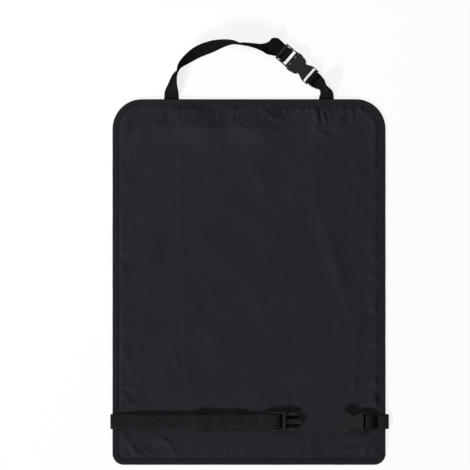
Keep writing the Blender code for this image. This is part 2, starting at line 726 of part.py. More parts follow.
def make_bottom_long(frame):
    across = Vector((0, 1, 0))
    on_strap = Matrix.Translation((0.0, STRAP_Y, 0.0))
    beside_strap = Matrix.Translation((0.0, STRAP_Y + BOTTOM_TAIL_DRIFT, 0.0))
    ladder_end = BOTTOM_MALE_X - LADDER_LENGTH
    tail_end = ladder_end - BOTTOM_TAIL_LENGTH
    over_ladder = frame.translation.z - UNDER_STRAP

    def on_sheet(x):
        return face_height(x, STRAP_Y) + SHEET_PLAY + WEBBING_THICKNESS / 2

    def risen(x, low, high):
        return low + (high - low) * ease((x - ladder_end + LADDER_LEAD) / LADDER_CLIMB)

    def load_height(x):
        """The loaded layer runs over the tail and its hem, then up over the ladder."""
        over_tail = ease((x - tail_end + HEM_LEAD) / HEM_CLIMB)
        over_hem = 2.0 - ease((x - tail_end - TAIL_HEM) / HEM_CLIMB)
        return risen(x, on_sheet(x) + (LAYER + HEM_PLAY) * over_tail * over_hem, over_ladder)

    def tail_height(x):
        return risen(x, on_sheet(x), over_ladder - LAYER)

    past_binding = -MAT_WIDTH / 2 + 2 * BINDING_WIDTH
    past_hem = tail_end + TAIL_HEM + HEM_CLIMB
    climb_xs = spaced(ladder_end - LADDER_LEAD, ladder_end - LADDER_LEAD + LADDER_CLIMB, 7)
    load_xs = spaced(past_binding, tail_end - HEM_LEAD, 7)
    load_xs += spaced(tail_end - HEM_LEAD, tail_end - HEM_LEAD + HEM_CLIMB, 4)[1:]
    load_xs += spaced(past_hem - HEM_CLIMB, past_hem, 4)
    load_xs += spaced(past_hem, ladder_end - LADDER_LEAD, 4)[1:-1] + climb_xs
    route = flat(wrap(-1, LEFT_WRAP_SLACK), on_strap, across)
    route += flat([(x, load_height(x)) for x in load_xs], on_strap, across)
    route += flat(ladder_route(), frame, across)

    hem_turn = LAYER / 2
    tail_xs = climb_xs[::-1] + spaced(ladder_end - TAIL_LEVEL, tail_end + TAIL_HEM, 2)
    for x in [*tail_xs, tail_end + 2 * hem_turn]:
        drift = BOTTOM_TAIL_DRIFT * ease((ladder_end - x) / (BOTTOM_TAIL_LENGTH / 2))
        route.append((Vector((x, STRAP_Y + drift, tail_height(x))), across, WEBBING_WIDTH))
    folded = arc((tail_end + hem_turn, tail_height(tail_end) + hem_turn), hem_turn, -90, -270, 6)
    folded.append((tail_end + TAIL_HEM, tail_height(tail_end) + LAYER))
    route += flat(folded, beside_strap, across)
    webbing("bottom_strap_long", route)


def make_bottom_short(frame):
    across = Vector((0, 1, 0))
    *edge, (x, z) = wrap(1, RIGHT_WRAP_SLACK)
    entry = (x - frame.translation.x, z - frame.translation.z)
    route = flat(edge, Matrix.Translation((0.0, STRAP_Y, 0.0)), across)
    route += flat(loop_route(entry, LOOP_RETURN), frame, across)
    webbing("bottom_strap_short", route)


make_panel()
make_binding()
top_middle = (TOP_BUCKLE_ACROSS, MAT_HEIGHT / 2 + TOP_BUCKLE_ABOVE, BUCKLE_THICKNESS / 2)
top_place = Matrix.Translation(top_middle)
top_frame = top_place @ Matrix.Rotation(radians(TOP_BUCKLE_TURN), 4, "Z")
make_male("top_buckle_male", top_frame)
make_female("top_buckle_female", top_frame)
make_top_long(top_frame)
make_top_short(top_frame)
bottom_male_frame = male_frame_bottom()
bottom_female_frame = female_frame_bottom()
make_male("bottom_buckle_male", bottom_male_frame)
make_female("bottom_buckle_female", bottom_female_frame)
make_bottom_long(bottom_male_frame)
make_bottom_short(bottom_female_frame)
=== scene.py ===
"""Seat back kick mat, lying face up on a pale floor.

The cloth panel, its binding tape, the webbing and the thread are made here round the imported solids,
and the buckles are smoothed from theirs. Everything is in metres, with X across the mat, Y up it
and Z out of its face.
"""

import json
from math import cos, pi, radians, sin

import bmesh
import bpy
import numpy as np
from mathutils import Matrix, Vector

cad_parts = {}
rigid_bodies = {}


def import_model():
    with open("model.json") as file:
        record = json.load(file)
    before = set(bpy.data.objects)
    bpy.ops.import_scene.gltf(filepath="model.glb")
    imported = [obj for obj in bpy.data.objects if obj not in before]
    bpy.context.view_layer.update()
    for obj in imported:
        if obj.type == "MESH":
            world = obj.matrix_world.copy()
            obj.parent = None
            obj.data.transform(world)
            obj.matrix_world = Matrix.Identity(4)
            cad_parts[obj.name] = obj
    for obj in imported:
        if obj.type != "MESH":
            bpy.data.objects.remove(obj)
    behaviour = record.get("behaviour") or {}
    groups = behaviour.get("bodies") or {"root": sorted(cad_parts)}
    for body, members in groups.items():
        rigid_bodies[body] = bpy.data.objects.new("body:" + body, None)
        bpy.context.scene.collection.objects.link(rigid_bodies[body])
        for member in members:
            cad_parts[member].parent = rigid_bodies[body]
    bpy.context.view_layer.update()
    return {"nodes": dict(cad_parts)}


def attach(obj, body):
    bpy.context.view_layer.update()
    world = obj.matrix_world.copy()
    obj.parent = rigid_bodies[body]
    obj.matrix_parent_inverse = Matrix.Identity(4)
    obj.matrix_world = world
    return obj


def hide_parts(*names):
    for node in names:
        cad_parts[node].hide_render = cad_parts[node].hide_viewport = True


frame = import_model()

# The sheet and its bound edge, as in the solids
MAT_WIDTH = 0.460
MAT_HEIGHT = 0.616
TOP_CORNER_RADIUS = 0.050
BOTTOM_CORNER_RADIUS = 0.019
PANEL_THICKNESS = 0.0010
BINDING_WIDTH = 0.010
BINDING_THICKNESS = 0.0006

# The webbing, as in the solids
WEBBING_WIDTH = 0.025
WEBBING_THICKNESS = 0.0014
ANCHOR_LENGTH = 0.038
TOP_ANCHOR_SPACING = 0.261
BOTTOM_STRAP_HEIGHT = 0.073
LEFT_WRAP_PLAY = 0.0005
RIGHT_WRAP_PLAY = 0.0025
BOTTOM_TAIL_LENGTH = 0.121
BOTTOM_TAIL_DRIFT = 0.0035
TAIL_HEM = 0.012
TOP_TAIL_LENGTH = 0.025
TOP_TAIL_RISE = 0.0120
LOOP_RETURN = 0.013
TOP_LOOP_RETURN = 0.008

# The buckles' places and the bars that the webbing goes round, as in the solids
TOP_BUCKLE_ACROSS = 0.0736
TOP_BUCKLE_ABOVE = 0.06485
TOP_BUCKLE_TURN = -40.9
BOTTOM_MALE_INSIDE = 0.2917
BOTTOM_FEMALE_INSIDE = 0.0725
BUCKLE_THICKNESS = 0.0088
BUCKLE_WIDTH = 0.032
END_BAR = 0.0040
OUTER_SLOT = 0.0050
MIDDLE_BAR = 0.0060
INNER_SLOT = 0.0065
BASE_LENGTH = 0.0045
BAR_THICKNESS = 0.0026
BODY_LENGTH = 0.0350
LOOP_SLOT = 0.0052
LOOP_BAR = 0.0040

# Clearances, and where each rise of the sheet and each climb of a strap starts and ends, as in
# the solids
GAP = 0.0003
SHEET_PLAY = 0.0005
BINDING_MARGIN = 0.0015
RIM_REACH = 0.030
ANCHOR_REACH = 0.040
SEAM_SETBACK = 0.0040
TOP_EXIT = 0.0012
SIDE_EXIT = 0.0010
HEM_LEAD = 0.014
HEM_CLIMB = 0.010
LADDER_LEAD = 0.024
LADDER_CLIMB = 0.021
TAIL_LEVEL = 0.030
HEM_PLAY = 0.0001
BAR_APPROACH = 0.4

# How far the loaded bottom strap turns its upper edge up off the sheet, and where it starts to
STRAP_LIFT_DEGREES = 7.0
STRAP_LIFT_START = 0.012
STRAP_LIFT_CLIMB = 0.030

# Sizes that follow from the ones above
LAYER = WEBBING_THICKNESS + GAP
SHEET_INSET = BINDING_THICKNESS + 2 * GAP
RIM_RISE = BINDING_THICKNESS + GAP
ANCHOR_RISE = LAYER
BINDING_OUTER_HEIGHT = PANEL_THICKNESS + 2 * (GAP + BINDING_THICKNESS)
STRAP_Y = BOTTOM_STRAP_HEIGHT - MAT_HEIGHT / 2
BAR_WRAP = BAR_THICKNESS / 2 + GAP + WEBBING_THICKNESS / 2
UNDER_STRAP = -BUCKLE_THICKNESS / 2 + WEBBING_THICKNESS / 2
LADDER_LENGTH = END_BAR + OUTER_SLOT + MIDDLE_BAR + INNER_SLOT + BASE_LENGTH
MIDDLE_BAR_FRONT = -(BASE_LENGTH + INNER_SLOT)
MIDDLE_BAR_BACK = MIDDLE_BAR_FRONT - MIDDLE_BAR
LOOP_BAR_START = BODY_LENGTH + LOOP_SLOT
LOOP_BAR_END = LOOP_BAR_START + LOOP_BAR
BOTTOM_MALE_X = BOTTOM_MALE_INSIDE - MAT_WIDTH / 2
BOTTOM_FEMALE_X = MAT_WIDTH / 2 - BOTTOM_FEMALE_INSIDE
BOTTOM_LADDER_X = BOTTOM_MALE_X - LADDER_LENGTH
BOTTOM_TAIL_X = BOTTOM_LADDER_X - BOTTOM_TAIL_LENGTH

# Where the webbing's UV map puts the middle of its back, from the middle of its face
WEBBING_BACK_PLACE = WEBBING_WIDTH * 1.5

# The top straps' routes, nearly as in the solids: across, above the top edge, and the roll in
# degrees. The band turns through 90 degrees, edge on, in two places.
TOP_LONG_ROUTE = (
    (-0.1304, 0.0101, 16),
    (-0.1287, 0.0236, 50),
    (-0.1264, 0.0354, 66),
    (-0.1239, 0.0426, 76),
    (-0.1213, 0.0480, 88),
    (-0.1153, 0.0573, 108),
    (-0.1025, 0.0684, 127),
    (-0.0858, 0.0795, 141),
    (-0.0655, 0.0876, 141),
    (-0.0457, 0.0934, 121),
    (-0.0293, 0.0957, 104),
    (-0.0192, 0.0947, 92),
    (-0.0120, 0.0938, 83),
    (-0.0070, 0.0930, 79),
    (0.0022, 0.0915, 75),
    (0.0212, 0.0872, 60),
    (0.0330, 0.0858, 26),
    (0.0430, 0.0855, 4),
)
TOP_SHORT_ROUTE = (
    (0.1302, 0.0075, 18),
    (0.1280, 0.0135, 44),
    (0.1240, 0.0200, 58),
    (0.1185, 0.0260, 32),
)

# How the routes are divided: steps between two controls, how far before the first and past the
# last one the curve looks, degrees a step round a bar and round the hem, and steps a stretch
ROUTE_STEPS = 12
ROUTE_HEADING = 0.010
BAR_STEP = 11.25
HEM_STEP = 18.0
LONG_STRETCH = 12
SHORT_STRETCH = 8

# How far the webbing bellies out where it stands on edge, and how soon that fades as it leans
BELLY = 0.0026
BELLY_FADE = 4

# The cut end of the top strap's tail: how far out, how far up its rise and how wide, as shares
TOP_TAIL_SHAPE = (
    (0.18, 0.16, 1.0),
    (0.40, 0.44, 1.0),
    (0.64, 0.72, 1.0),
    (0.80, 0.87, 0.86),
    (0.94, 0.97, 0.62),
    (1.00, 1.00, 0.42),
)

# The webbing's section round its right edge and over its face: the share of its half-width across,
# how far in from there, and the share of its thickness through
WEBBING_EDGE = (
    (1.0, 0.0012, -0.50),
    (1.0, 0.0004, -0.40),
    (1.0, 0.0, 0.0),
    (1.0, 0.0004, 0.40),
    (1.0, 0.0012, 0.50),
)
WEBBING_FACE = (
    (0.7, 0.0, 0.5),
    (0.35, 0.0, 0.5),
    (0.0, 0.0, 0.5),
    (-0.35, 0.0, 0.5),
    (-0.7, 0.0, 0.5),
)

# The camera: its lens, and the width and middle of its view at the mat
FRAME_WIDTH = 0.792
FRAME_MIDDLE = (-0.0236, 0.0792)
LENS = 300.0
SENSOR_WIDTH = 36.0

# The lamps: name, place, what each one points at, width and power
LAMPS = (
    ("soft key", (-4.68, -5.88, 3.90), (0.0, 0.0, 0.0), 1.7, 777.0),
    ("near fill", (-0.90, 1.10, 1.60), (0.0, 0.1, 0.0), 0.9, 20.0),
)

# The room's even light, and the floor: its paper, how much of its look is plain white, how far it
# reaches and how high it lies
ROOM_LIGHT = 0.16
FLOOR_SHADE = 0.94
FLOOR_GLOW = 0.82
FLOOR_REACH = 6.0
FLOOR_LEVEL = -0.0004

# The two packing folds, from the foot of the mat up: height up it, distance across it, the height
# of the ridge there and how far it reaches to each side
LEFT_FOLD = (
    (-0.308, -0.0960, 0.0009, 0.0026),
    (-0.262, -0.0960, 0.0009, 0.0026),
    (-0.120, -0.1060, 0.0003, 0.0040),
    (0.110, -0.1160, 0.0007, 0.0028),
    (0.308, -0.1165, 0.0010, 0.0026),
)
RIGHT_FOLD = (
    (-0.308, 0.1030, 0.0009, 0.0026),
    (-0.262, 0.1030, 0.0008, 0.0030),
    (-0.090, 0.1780, 0.0003, 0.0060),
    (-0.010, 0.1560, 0.0008, 0.0070),
    (0.070, 0.1320, 0.0010, 0.0075),
    (0.138, 0.1130, 0.0007, 0.0090),
    (0.230, 0.1100, 0.0006, 0.0090),
    (0.308, 0.1130, 0.0009, 0.0035),
)

# Ridges pulled into the cloth: from across and up, to across and up, half-width and height
RIDGES = (
    (-0.213, -0.254, -0.184, -0.292, 0.0064, 0.0026),
    (-0.217, -0.274, -0.206, -0.294, 0.0032, 0.0015),
    (-0.170, -0.278, -0.158, -0.293, 0.0038, 0.0013),
    (-0.158, -0.252, -0.122, -0.288, 0.0080, 0.0020),
    (-0.192, -0.254, -0.150, -0.252, 0.0036, 0.0015),
    (-0.216, -0.184, -0.200, -0.208, 0.0044, 0.0025),
    (-0.206, -0.196, -0.178, -0.211, 0.0034, 0.0013),
    (0.158, -0.294, 0.186, -0.268, 0.0036, 0.0024),
    (0.172, -0.270, 0.194, -0.256, 0.0034, 0.0015),
    (0.187, -0.295, 0.214, -0.260, 0.0040, 0.0028),
    (0.204, -0.294, 0.217, -0.282, 0.0028, 0.0014),
    (0.193, -0.214, 0.217, -0.190, 0.0046, 0.0029),
    (0.174, -0.178, 0.181, -0.154, 0.0044, 0.0018),
    (0.196, -0.176, 0.216, -0.166, 0.0032, 0.0014),
    (0.190, -0.137, 0.215, -0.112, 0.0034, 0.0014),
    (0.186, -0.062, 0.215, -0.040, 0.0040, 0.0013),
    (0.200, -0.026, 0.217, -0.014, 0.0028, 0.0010),
    (0.194, 0.008, 0.216, 0.016, 0.0032, 0.0011),
    (0.202, 0.036, 0.217, 0.040, 0.0026, 0.0009),
    (0.196, 0.062, 0.216, 0.076, 0.0030, 0.0012),
    (0.200, 0.094, 0.217, 0.104, 0.0028, 0.0010),
    (0.188, 0.120, 0.214, 0.142, 0.0036, 0.0014),
    (0.186, 0.170, 0.213, 0.198, 0.0036, 0.0013),
    (-0.128, -0.118, -0.122, -0.156, 0.0034, 0.0006),
    (-0.112, -0.110, -0.108, -0.140, 0.0030, 0.0006),
    (-0.119, 0.298, -0.118, 0.268, 0.0028, 0.0022),
    (-0.138, 0.290, -0.154, 0.262, 0.0038, 0.0024),
    (-0.100, 0.290, -0.084, 0.280, 0.0060, 0.0018),
    (-0.050, 0.296, -0.047, 0.270, 0.0036, 0.0020),
    (-0.026, 0.296, -0.028, 0.268, 0.0038, 0.0022),
    (0.022, 0.294, 0.052, 0.272, 0.0048, 0.0026),
    (0.116, 0.290, 0.130, 0.264, 0.0042, 0.0024),
    (-0.132, 0.256, -0.150, 0.236, 0.0034, 0.0012),
    (-0.118, 0.262, 0.052, 0.259, 0.0030, 0.0009),
    (-0.112, 0.268, -0.104, 0.296, 0.0028, 0.0010),
    (0.034, 0.256, 0.052, 0.258, 0.0030, 0.0013),
    (0.018, 0.264, 0.046, 0.290, 0.0038, 0.0022),
    (0.110, 0.298, 0.112, 0.270, 0.0032, 0.0032),
    (0.112, 0.262, 0.134, 0.244, 0.0034, 0.0014),
    (0.150, 0.290, 0.160, 0.262, 0.0030, 0.0010),
    (-0.092, 0.226, -0.046, 0.232, 0.0034, 0.0010),
    (-0.046, 0.248, -0.052, 0.222, 0.0030, 0.0010),
    (0.006, 0.244, 0.044, 0.226, 0.0040, 0.0009),
    (-0.030, 0.020, 0.020, 0.012, 0.0070, 0.0006),
    (0.020, -0.060, 0.070, -0.110, 0.0090, 0.0007),
    (0.060, 0.150, 0.084, 0.110, 0.0080, 0.0005),
    (0.004, 0.196, 0.020, 0.158, 0.0090, 0.0006),
)

# Low swellings of the cloth: across and up, half-length, half-width, turn in degrees and height
SWELLINGS = (
    (-0.081, 0.261, 0.032, 0.021, 6.0, 0.0070),
    (0.010, 0.259, 0.036, 0.020, -3.0, 0.0066),
    (0.043, 0.280, 0.014, 0.008, 24.0, 0.0026),
    (0.160, 0.262, 0.024, 0.011, -30.0, 0.0017),
    (-0.178, 0.250, 0.030, 0.013, 52.0, 0.0014),
    (0.052, -0.020, 0.055, 0.030, 30.0, 0.0010),
    (-0.060, -0.080, 0.060, 0.026, -20.0, 0.0009),
    (-0.165, 0.050, 0.024, 0.060, 4.0, 0.0012),
    (0.090, -0.150, 0.050, 0.020, 12.0, 0.0012),
    (-0.100, -0.190, 0.040, 0.012, 3.0, 0.0011),
    (-0.195, -0.225, 0.020, 0.012, 70.0, 0.0014),
    (0.195, -0.275, 0.018, 0.012, 60.0, 0.0012),
    (0.147, 0.032, 0.060, 0.014, -73.0, 0.0022),
    (0.020, 0.172, 0.030, 0.010, -68.0, 0.0012),
)

# How a ridge's height varies and over what length, how much it wanders, how it fades at its ends
# and how sharp it is
RIDGE_HEIGHTS = (0.45, 0.95)
RIDGE_LENGTH = 0.014
RIDGE_WANDERS = (0.4, 0.2)
RIDGE_FADE = 0.25
RIDGE_SHARPNESS = 1.5
WANDER = 0.014
WANDER_LENGTH = 0.020

# The ripples along the top seam, which lift the binding too, and the short ridges below it
RIPPLE_HEIGHT = 0.0005
RIPPLE_LENGTH = 0.011
RIPPLE_REACH = 0.020
GATHER_FROM = -0.150
GATHER_TO = 0.210
GATHER_FADE = 0.030
GATHER_LEAN = 0.25
GATHER_SPACING = (0.006, 0.019)
GATHER_LENGTHS = (0.010, 0.032)
GATHER_HALF_WIDTHS = (0.0018, 0.0036)
GATHER_HEIGHTS = (0.0006, 0.0025)

# The soft roll of cloth that stands up just inside the binding: its height, the least share of it
# that is left anywhere, the span of noise that it varies over, how fast it rises and falls off, and
# the least share at the foot of the mat and how far up that reaches
EDGE_ROLL_HEIGHT = 0.0017
EDGE_ROLL_LEAST = 0.2
EDGE_ROLL_NOISE = (0.2, 0.6)
EDGE_ROLL_RISE = 0.008
EDGE_ROLL_REACH = 0.026
EDGE_ROLL_LENGTH = 0.014
EDGE_ROLL_FOOT = (0.25, 0.040)

# The cloth's other relief: puckers along the binding, slack, crumples, creases and seams' dips
EDGE_PUCKER_HEIGHT = 0.0007
EDGE_PUCKER_LENGTH = 0.0055
EDGE_PUCKER_REACH = 0.010
DIP_REACH = 0.007
FREE_REACH = 0.014
SLACK_REACH = 0.040
SLACK_HEIGHT = 0.0019
SLACK_LENGTH = 0.085
CRUMPLE_HEIGHT = 0.0007
CRUMPLE_LENGTH = 0.022
CRUMPLE_SLANT = 0.3
CREASE_HEIGHT = 0.0015
CREASE_LENGTH = 0.024
CREASE_PATCH_LENGTH = 0.036
CREASE_SHARES = (0.7, 0.3)
CREASE_THINNESS = 0.07
CREASE_REACH = 0.035
SEAM_DIP = 0.00025
SEAM_DIP_REACH = 0.0024

# How many cells of noise there are before it repeats
NOISE_CELLS = 64

# How finely the cloth, the tape and the seams are divided
CLOTH_STEP_ACROSS = 0.0024
CLOTH_STEP_UP = 0.0036
FINE_CLOTH_STEP = 0.0019
FINE_CLOTH_REACH = 0.058
TAPE_STEP = 0.0025
SEAM_STEP = 0.0020

# The tape: how its cut edges and its fold round off, half the width of the seam's groove, how far in
# from the outline the sheet's height is read, and how uneven its surface is
TAPE_EDGE_ROUNDING = 0.0004
TAPE_EDGE_SHARE = 0.86
TAPE_FOLD_STEPS = 8
TAPE_FOLD_SHARE = 0.6
GROOVE_REACH = 0.0010
HEIGHT_INSET = 0.001
TAPE_UNEVENNESS = 0.0004
TAPE_UNEVEN_LENGTH = 0.030
TAPE_SEED = 4.0

# The seams: their stitches, and how far each seam lies from an outline, an edge or a bar
STITCH_PITCH = 0.0034
STITCH_LENGTH = 0.0027
THREAD_THICKNESS = 0.00042
STITCH_SIDES = 6
STITCH_RINGS = 5
STITCH_WANDER = 3.0
BINDING_SEAM_INSIDE = 0.0072
BOX_SEAM_INSIDE = 0.0024
BOX_SEAM_LENGTH = 0.029
LOOP_SEAM = 0.0107
TOP_LOOP_SEAM = 0.0055
LOOP_SEAM_SPACING = 0.003
LOOP_SEAM_INSIDE = 0.00126
LOOP_SEAM_POINTS = 14

# The colours: the darker and the paler shade of each surface, and those that are the same all over
CLOTH_SHADES = ((0.0132, 0.0123, 0.0172), (0.0154, 0.0143, 0.0202))
TAPE_SHADES = ((0.0172, 0.0163, 0.0203), (0.0208, 0.0198, 0.0246))
STRAP_SHADES = ((0.0122, 0.0117, 0.0139), (0.0186, 0.0179, 0.0211))
TOP_STRAP_SHADES = ((0.0072, 0.0069, 0.0080), (0.0108, 0.0104, 0.0120))
THREAD_SHADES = ((0.0038, 0.0036, 0.0046), (0.0056, 0.0053, 0.0068))
MOULDING_COLOUR = (0.0150, 0.0150, 0.0152, 1.0)
WHITE = (1.0, 1.0, 1.0, 1.0)

# Yarn pitches along and across each weave, and how a yarn's top rounds off
CLOTH_YARNS = (0.00060, 0.00066)
TAPE_YARNS = (0.00085, 0.00040)
WEBBING_YARNS = (0.0021, 0.00125)
YARN_ROUNDING = 0.6

# Where a blend between two shades starts and ends in its noise
BLEND_FROM = 0.3
BLEND_TO = 0.7

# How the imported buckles' faces are joined and where their edges stay sharp, in metres and degrees
MERGE_DISTANCE = 0.00001
FLAT_ANGLE = 0.5
SHARP_ANGLE = 50


def ease(value):
    """0 up to 0, 1 from 1 on, and a smooth rise between them."""
    value = np.clip(value, 0.0, 1.0)
    return value * value * (3.0 - 2.0 * value)


def soft_noise(x, y, length, seed):
    """Smooth random values from 0 to 1 that change over a length."""
    lattice = np.random.default_rng(seed).random((NOISE_CELLS, NOISE_CELLS))
    u = np.asarray(x) / length + NOISE_CELLS / 2
    v = np.asarray(y) / length + NOISE_CELLS / 2
    column = np.floor(u).astype(int)
    row = np.floor(v).astype(int)
    right = ease(u - column)
    up = ease(v - row)

    def along(row):
        cells = lattice[row % NOISE_CELLS, column % NOISE_CELLS]
        next_cells = lattice[row % NOISE_CELLS, (column + 1) % NOISE_CELLS]
        return cells * (1 - right) + next_cells * right

    return along(row) * (1 - up) + along(row + 1) * up


def distance_inside(x, y):
    """How far points of the sheet lie in from its rounded outline."""
    radius = np.where(y > 0, TOP_CORNER_RADIUS, BOTTOM_CORNER_RADIUS)
    past_x = np.abs(x) - (MAT_WIDTH / 2 - radius)
    past_y = np.abs(y) - (MAT_HEIGHT / 2 - radius)
    at_corner = (past_x > 0) & (past_y > 0)
    from_sides = np.minimum(MAT_WIDTH / 2 - np.abs(x), MAT_HEIGHT / 2 - np.abs(y))
    return np.where(at_corner, radius - np.hypot(past_x, past_y), from_sides)


def level_height(x, y):
    """The height of the sheet's back over the binding and the sewn webbing, without folds."""
    flat_rim = BINDING_WIDTH + BINDING_MARGIN
    rim = ease((RIM_REACH - distance_inside(x, y)) / (RIM_REACH - flat_rim))
    half_across = WEBBING_WIDTH / 2 + BOTTOM_TAIL_DRIFT
    beside_top = np.maximum(np.abs(np.abs(x) - TOP_ANCHOR_SPACING / 2) - half_across, 0.0)
    below_top = np.maximum(MAT_HEIGHT / 2 - ANCHOR_LENGTH - y, 0.0)
    beside_bottom = np.maximum(np.abs(y - STRAP_Y) - half_across, 0.0)
    inside_bottom = np.maximum(MAT_WIDTH / 2 - ANCHOR_LENGTH - np.abs(x), 0.0)
    nearest = np.minimum(np.hypot(beside_top, below_top), np.hypot(beside_bottom, inside_bottom))
    return RIM_RISE * rim + ANCHOR_RISE * ease(1.0 - nearest / ANCHOR_REACH)


def ripples(x):
    """The slow ripples that the top seam gathers into the cloth and its binding."""
    window = ease((x - GATHER_FROM) / GATHER_FADE) * ease((GATHER_TO - x) / GATHER_FADE)
    return RIPPLE_HEIGHT * window * soft_noise(x, 0.0, RIPPLE_LENGTH, seed=5)


def ripple_share(y):
    """How much of the top seam's ripples is left at a height up the sheet."""
    return np.exp(-np.maximum(MAT_HEIGHT / 2 - BINDING_WIDTH - y, 0.0) / RIPPLE_REACH)


def gathers():
    """The short ridges below the top seam, each with the same six values as in RIDGES."""
    pick = np.random.default_rng(seed=11)
    x = GATHER_FROM
    made = []
    start = MAT_HEIGHT / 2 - BINDING_WIDTH
    while x < GATHER_TO:
        length = pick.uniform(*GATHER_LENGTHS)
        lean = pick.uniform(-GATHER_LEAN, GATHER_LEAN) * length
        shape = (pick.uniform(*GATHER_HALF_WIDTHS), pick.uniform(*GATHER_HEIGHTS))
        made.append((x, start, x + lean, start - length, *shape))
        x += pick.uniform(*GATHER_SPACING)
    return made


def folds(x, y):
    """The two packing folds, low ridges that run up the whole mat."""
    height = np.zeros_like(x)
    for fold in (LEFT_FOLD, RIGHT_FOLD):
        ups, across, tops, reaches = np.array(fold).T
        aside = np.abs(x - np.interp(y, ups, across))
        ridge = np.interp(y, ups, tops) * np.exp(-aside / np.interp(y, ups, reaches))
        height = np.maximum(height, ridge)
    return height


def ridges(x, y, lines):
    """The height of wrinkles along lines that wander a little, the highest where they cross."""
    height = np.zeros_like(x)
    wander_x = (soft_noise(x, y, WANDER_LENGTH, seed=21) - 0.5) * WANDER
    wander_y = (soft_noise(x, y, WANDER_LENGTH, seed=22) - 0.5) * WANDER
    least, more = RIDGE_HEIGHTS
    uneven = least + more * soft_noise(x, y, RIDGE_LENGTH, seed=23)
    first, step = RIDGE_WANDERS
    for index, (x1, y1, x2, y2, half_width, top) in enumerate(lines):
        share = (-1) ** index * (first + step * (index % 4))
        from_x = x + wander_x * share - x1
        from_y = y + wander_y * share - y1
        length = np.hypot(x2 - x1, y2 - y1)
        along = (from_x * (x2 - x1) + from_y * (y2 - y1)) / length**2
        aside = (from_y * (x2 - x1) - from_x * (y2 - y1)) / length
        starting = ease((along + RIDGE_FADE) / (2 * RIDGE_FADE))
        ending = ease((1 + RIDGE_FADE - along) / (2 * RIDGE_FADE))
        across = np.exp(-np.abs(aside / half_width) ** RIDGE_SHARPNESS)
        height = np.maximum(height, top * starting * ending * across)
    return height * uneven


def swellings(x, y):
    """The height of the low rounded swellings."""
    height = np.zeros_like(x)
    for x0, y0, half_length, half_width, turn, top in SWELLINGS:
        along = (x - x0) * cos(radians(turn)) + (y - y0) * sin(radians(turn))
        aside = (y - y0) * cos(radians(turn)) - (x - x0) * sin(radians(turn))
        height += top * np.exp(-((along / half_length) ** 2) - (aside / half_width) ** 2)
    return height


def creases(x, y):
    """Thin creases at random near the outline, from 0 to 1."""
    broad, fine = CREASE_SHARES
    value = soft_noise(x, y, CREASE_LENGTH, seed=8) * broad
    value += soft_noise(x, y, CREASE_LENGTH / 2, seed=9) * fine
    line = np.clip(1.0 - np.abs(value - 0.5) / CREASE_THINNESS, 0.0, 1.0)
    past_binding = np.maximum(distance_inside(x, y) - BINDING_WIDTH, 0.0)
    near = np.exp(-((past_binding / CREASE_REACH) ** 2))
    return ease(line) * near * soft_noise(x, y, CREASE_PATCH_LENGTH, seed=10)


def anchor_boxes():
    """The low and high corners of the box seams that hold the webbing's sewn ends."""
    boxes = []
    half = WEBBING_WIDTH / 2 - BOX_SEAM_INSIDE
    for side in (-1, 1):
        middle = side * TOP_ANCHOR_SPACING / 2
        foot = MAT_HEIGHT / 2 - ANCHOR_LENGTH + BOX_SEAM_INSIDE
        boxes.append(((middle - half, foot), (middle + half, foot + BOX_SEAM_LENGTH)))
        end = side * (MAT_WIDTH / 2 - ANCHOR_LENGTH + BOX_SEAM_INSIDE)
        ends = sorted((end, end + side * BOX_SEAM_LENGTH))
        boxes.append(((ends[0], STRAP_Y - half), (ends[1], STRAP_Y + half)))
    return boxes


def seam_dips(x, y):
    """How far the seams of the sewn ends pull the cloth down."""
    depth = np.zeros_like(x)
    for low, high in anchor_boxes():
        outside = np.hypot(
            np.maximum(np.maximum(low[0] - x, x - high[0]), 0.0),
            np.maximum(np.maximum(low[1] - y, y - high[1]), 0.0),
        )
        within = np.minimum(np.minimum(x - low[0], high[0] - x), np.minimum(y - low[1], high[1] - y))
        nearest = np.where(within > 0, within, outside)
        depth = np.maximum(depth, np.exp(-((nearest / SEAM_DIP_REACH) ** 2)))
    return SEAM_DIP * depth


def edge_roll(x, y, past_binding):
    """The uneven soft roll in which the cloth stands up just inside the binding."""
    past = np.maximum(past_binding, 0.0)
    start, span = EDGE_ROLL_NOISE
    uneven = EDGE_ROLL_LEAST + ease((soft_noise(x, y, EDGE_ROLL_LENGTH, seed=12) - start) / span)
    shape = ease(past / EDGE_ROLL_RISE) * np.exp(-((past / EDGE_ROLL_REACH) ** 2))
    least, reach = EDGE_ROLL_FOOT
    at_foot = least + (1.0 - least) * ease((y + MAT_HEIGHT / 2 - BINDING_WIDTH) / reach)
    return EDGE_ROLL_HEIGHT * uneven * shape * at_foot


def slack(x, y, past_binding, past_strap):
    """The slow waves and the crumples of the loose cloth, none at the binding or the strap."""
    height = SLACK_HEIGHT * soft_noise(x, y, SLACK_LENGTH, seed=1)
    height += CRUMPLE_HEIGHT * soft_noise(x + y * CRUMPLE_SLANT, y, CRUMPLE_LENGTH, seed=2)
    height *= ease(past_strap / SLACK_REACH) * ease(past_binding / SLACK_REACH)
    return height


def puckers(x, y, past_binding):
    """The small puckers that the binding's seam draws into every edge."""
    along_edge = np.where(np.abs(x) / MAT_WIDTH > np.abs(y) / MAT_HEIGHT, y, x)
    near_edge = np.exp(-np.maximum(past_binding, 0.0) / EDGE_PUCKER_REACH)
    return EDGE_PUCKER_HEIGHT * near_edge * soft_noise(along_edge, 0.0, EDGE_PUCKER_LENGTH, seed=3)


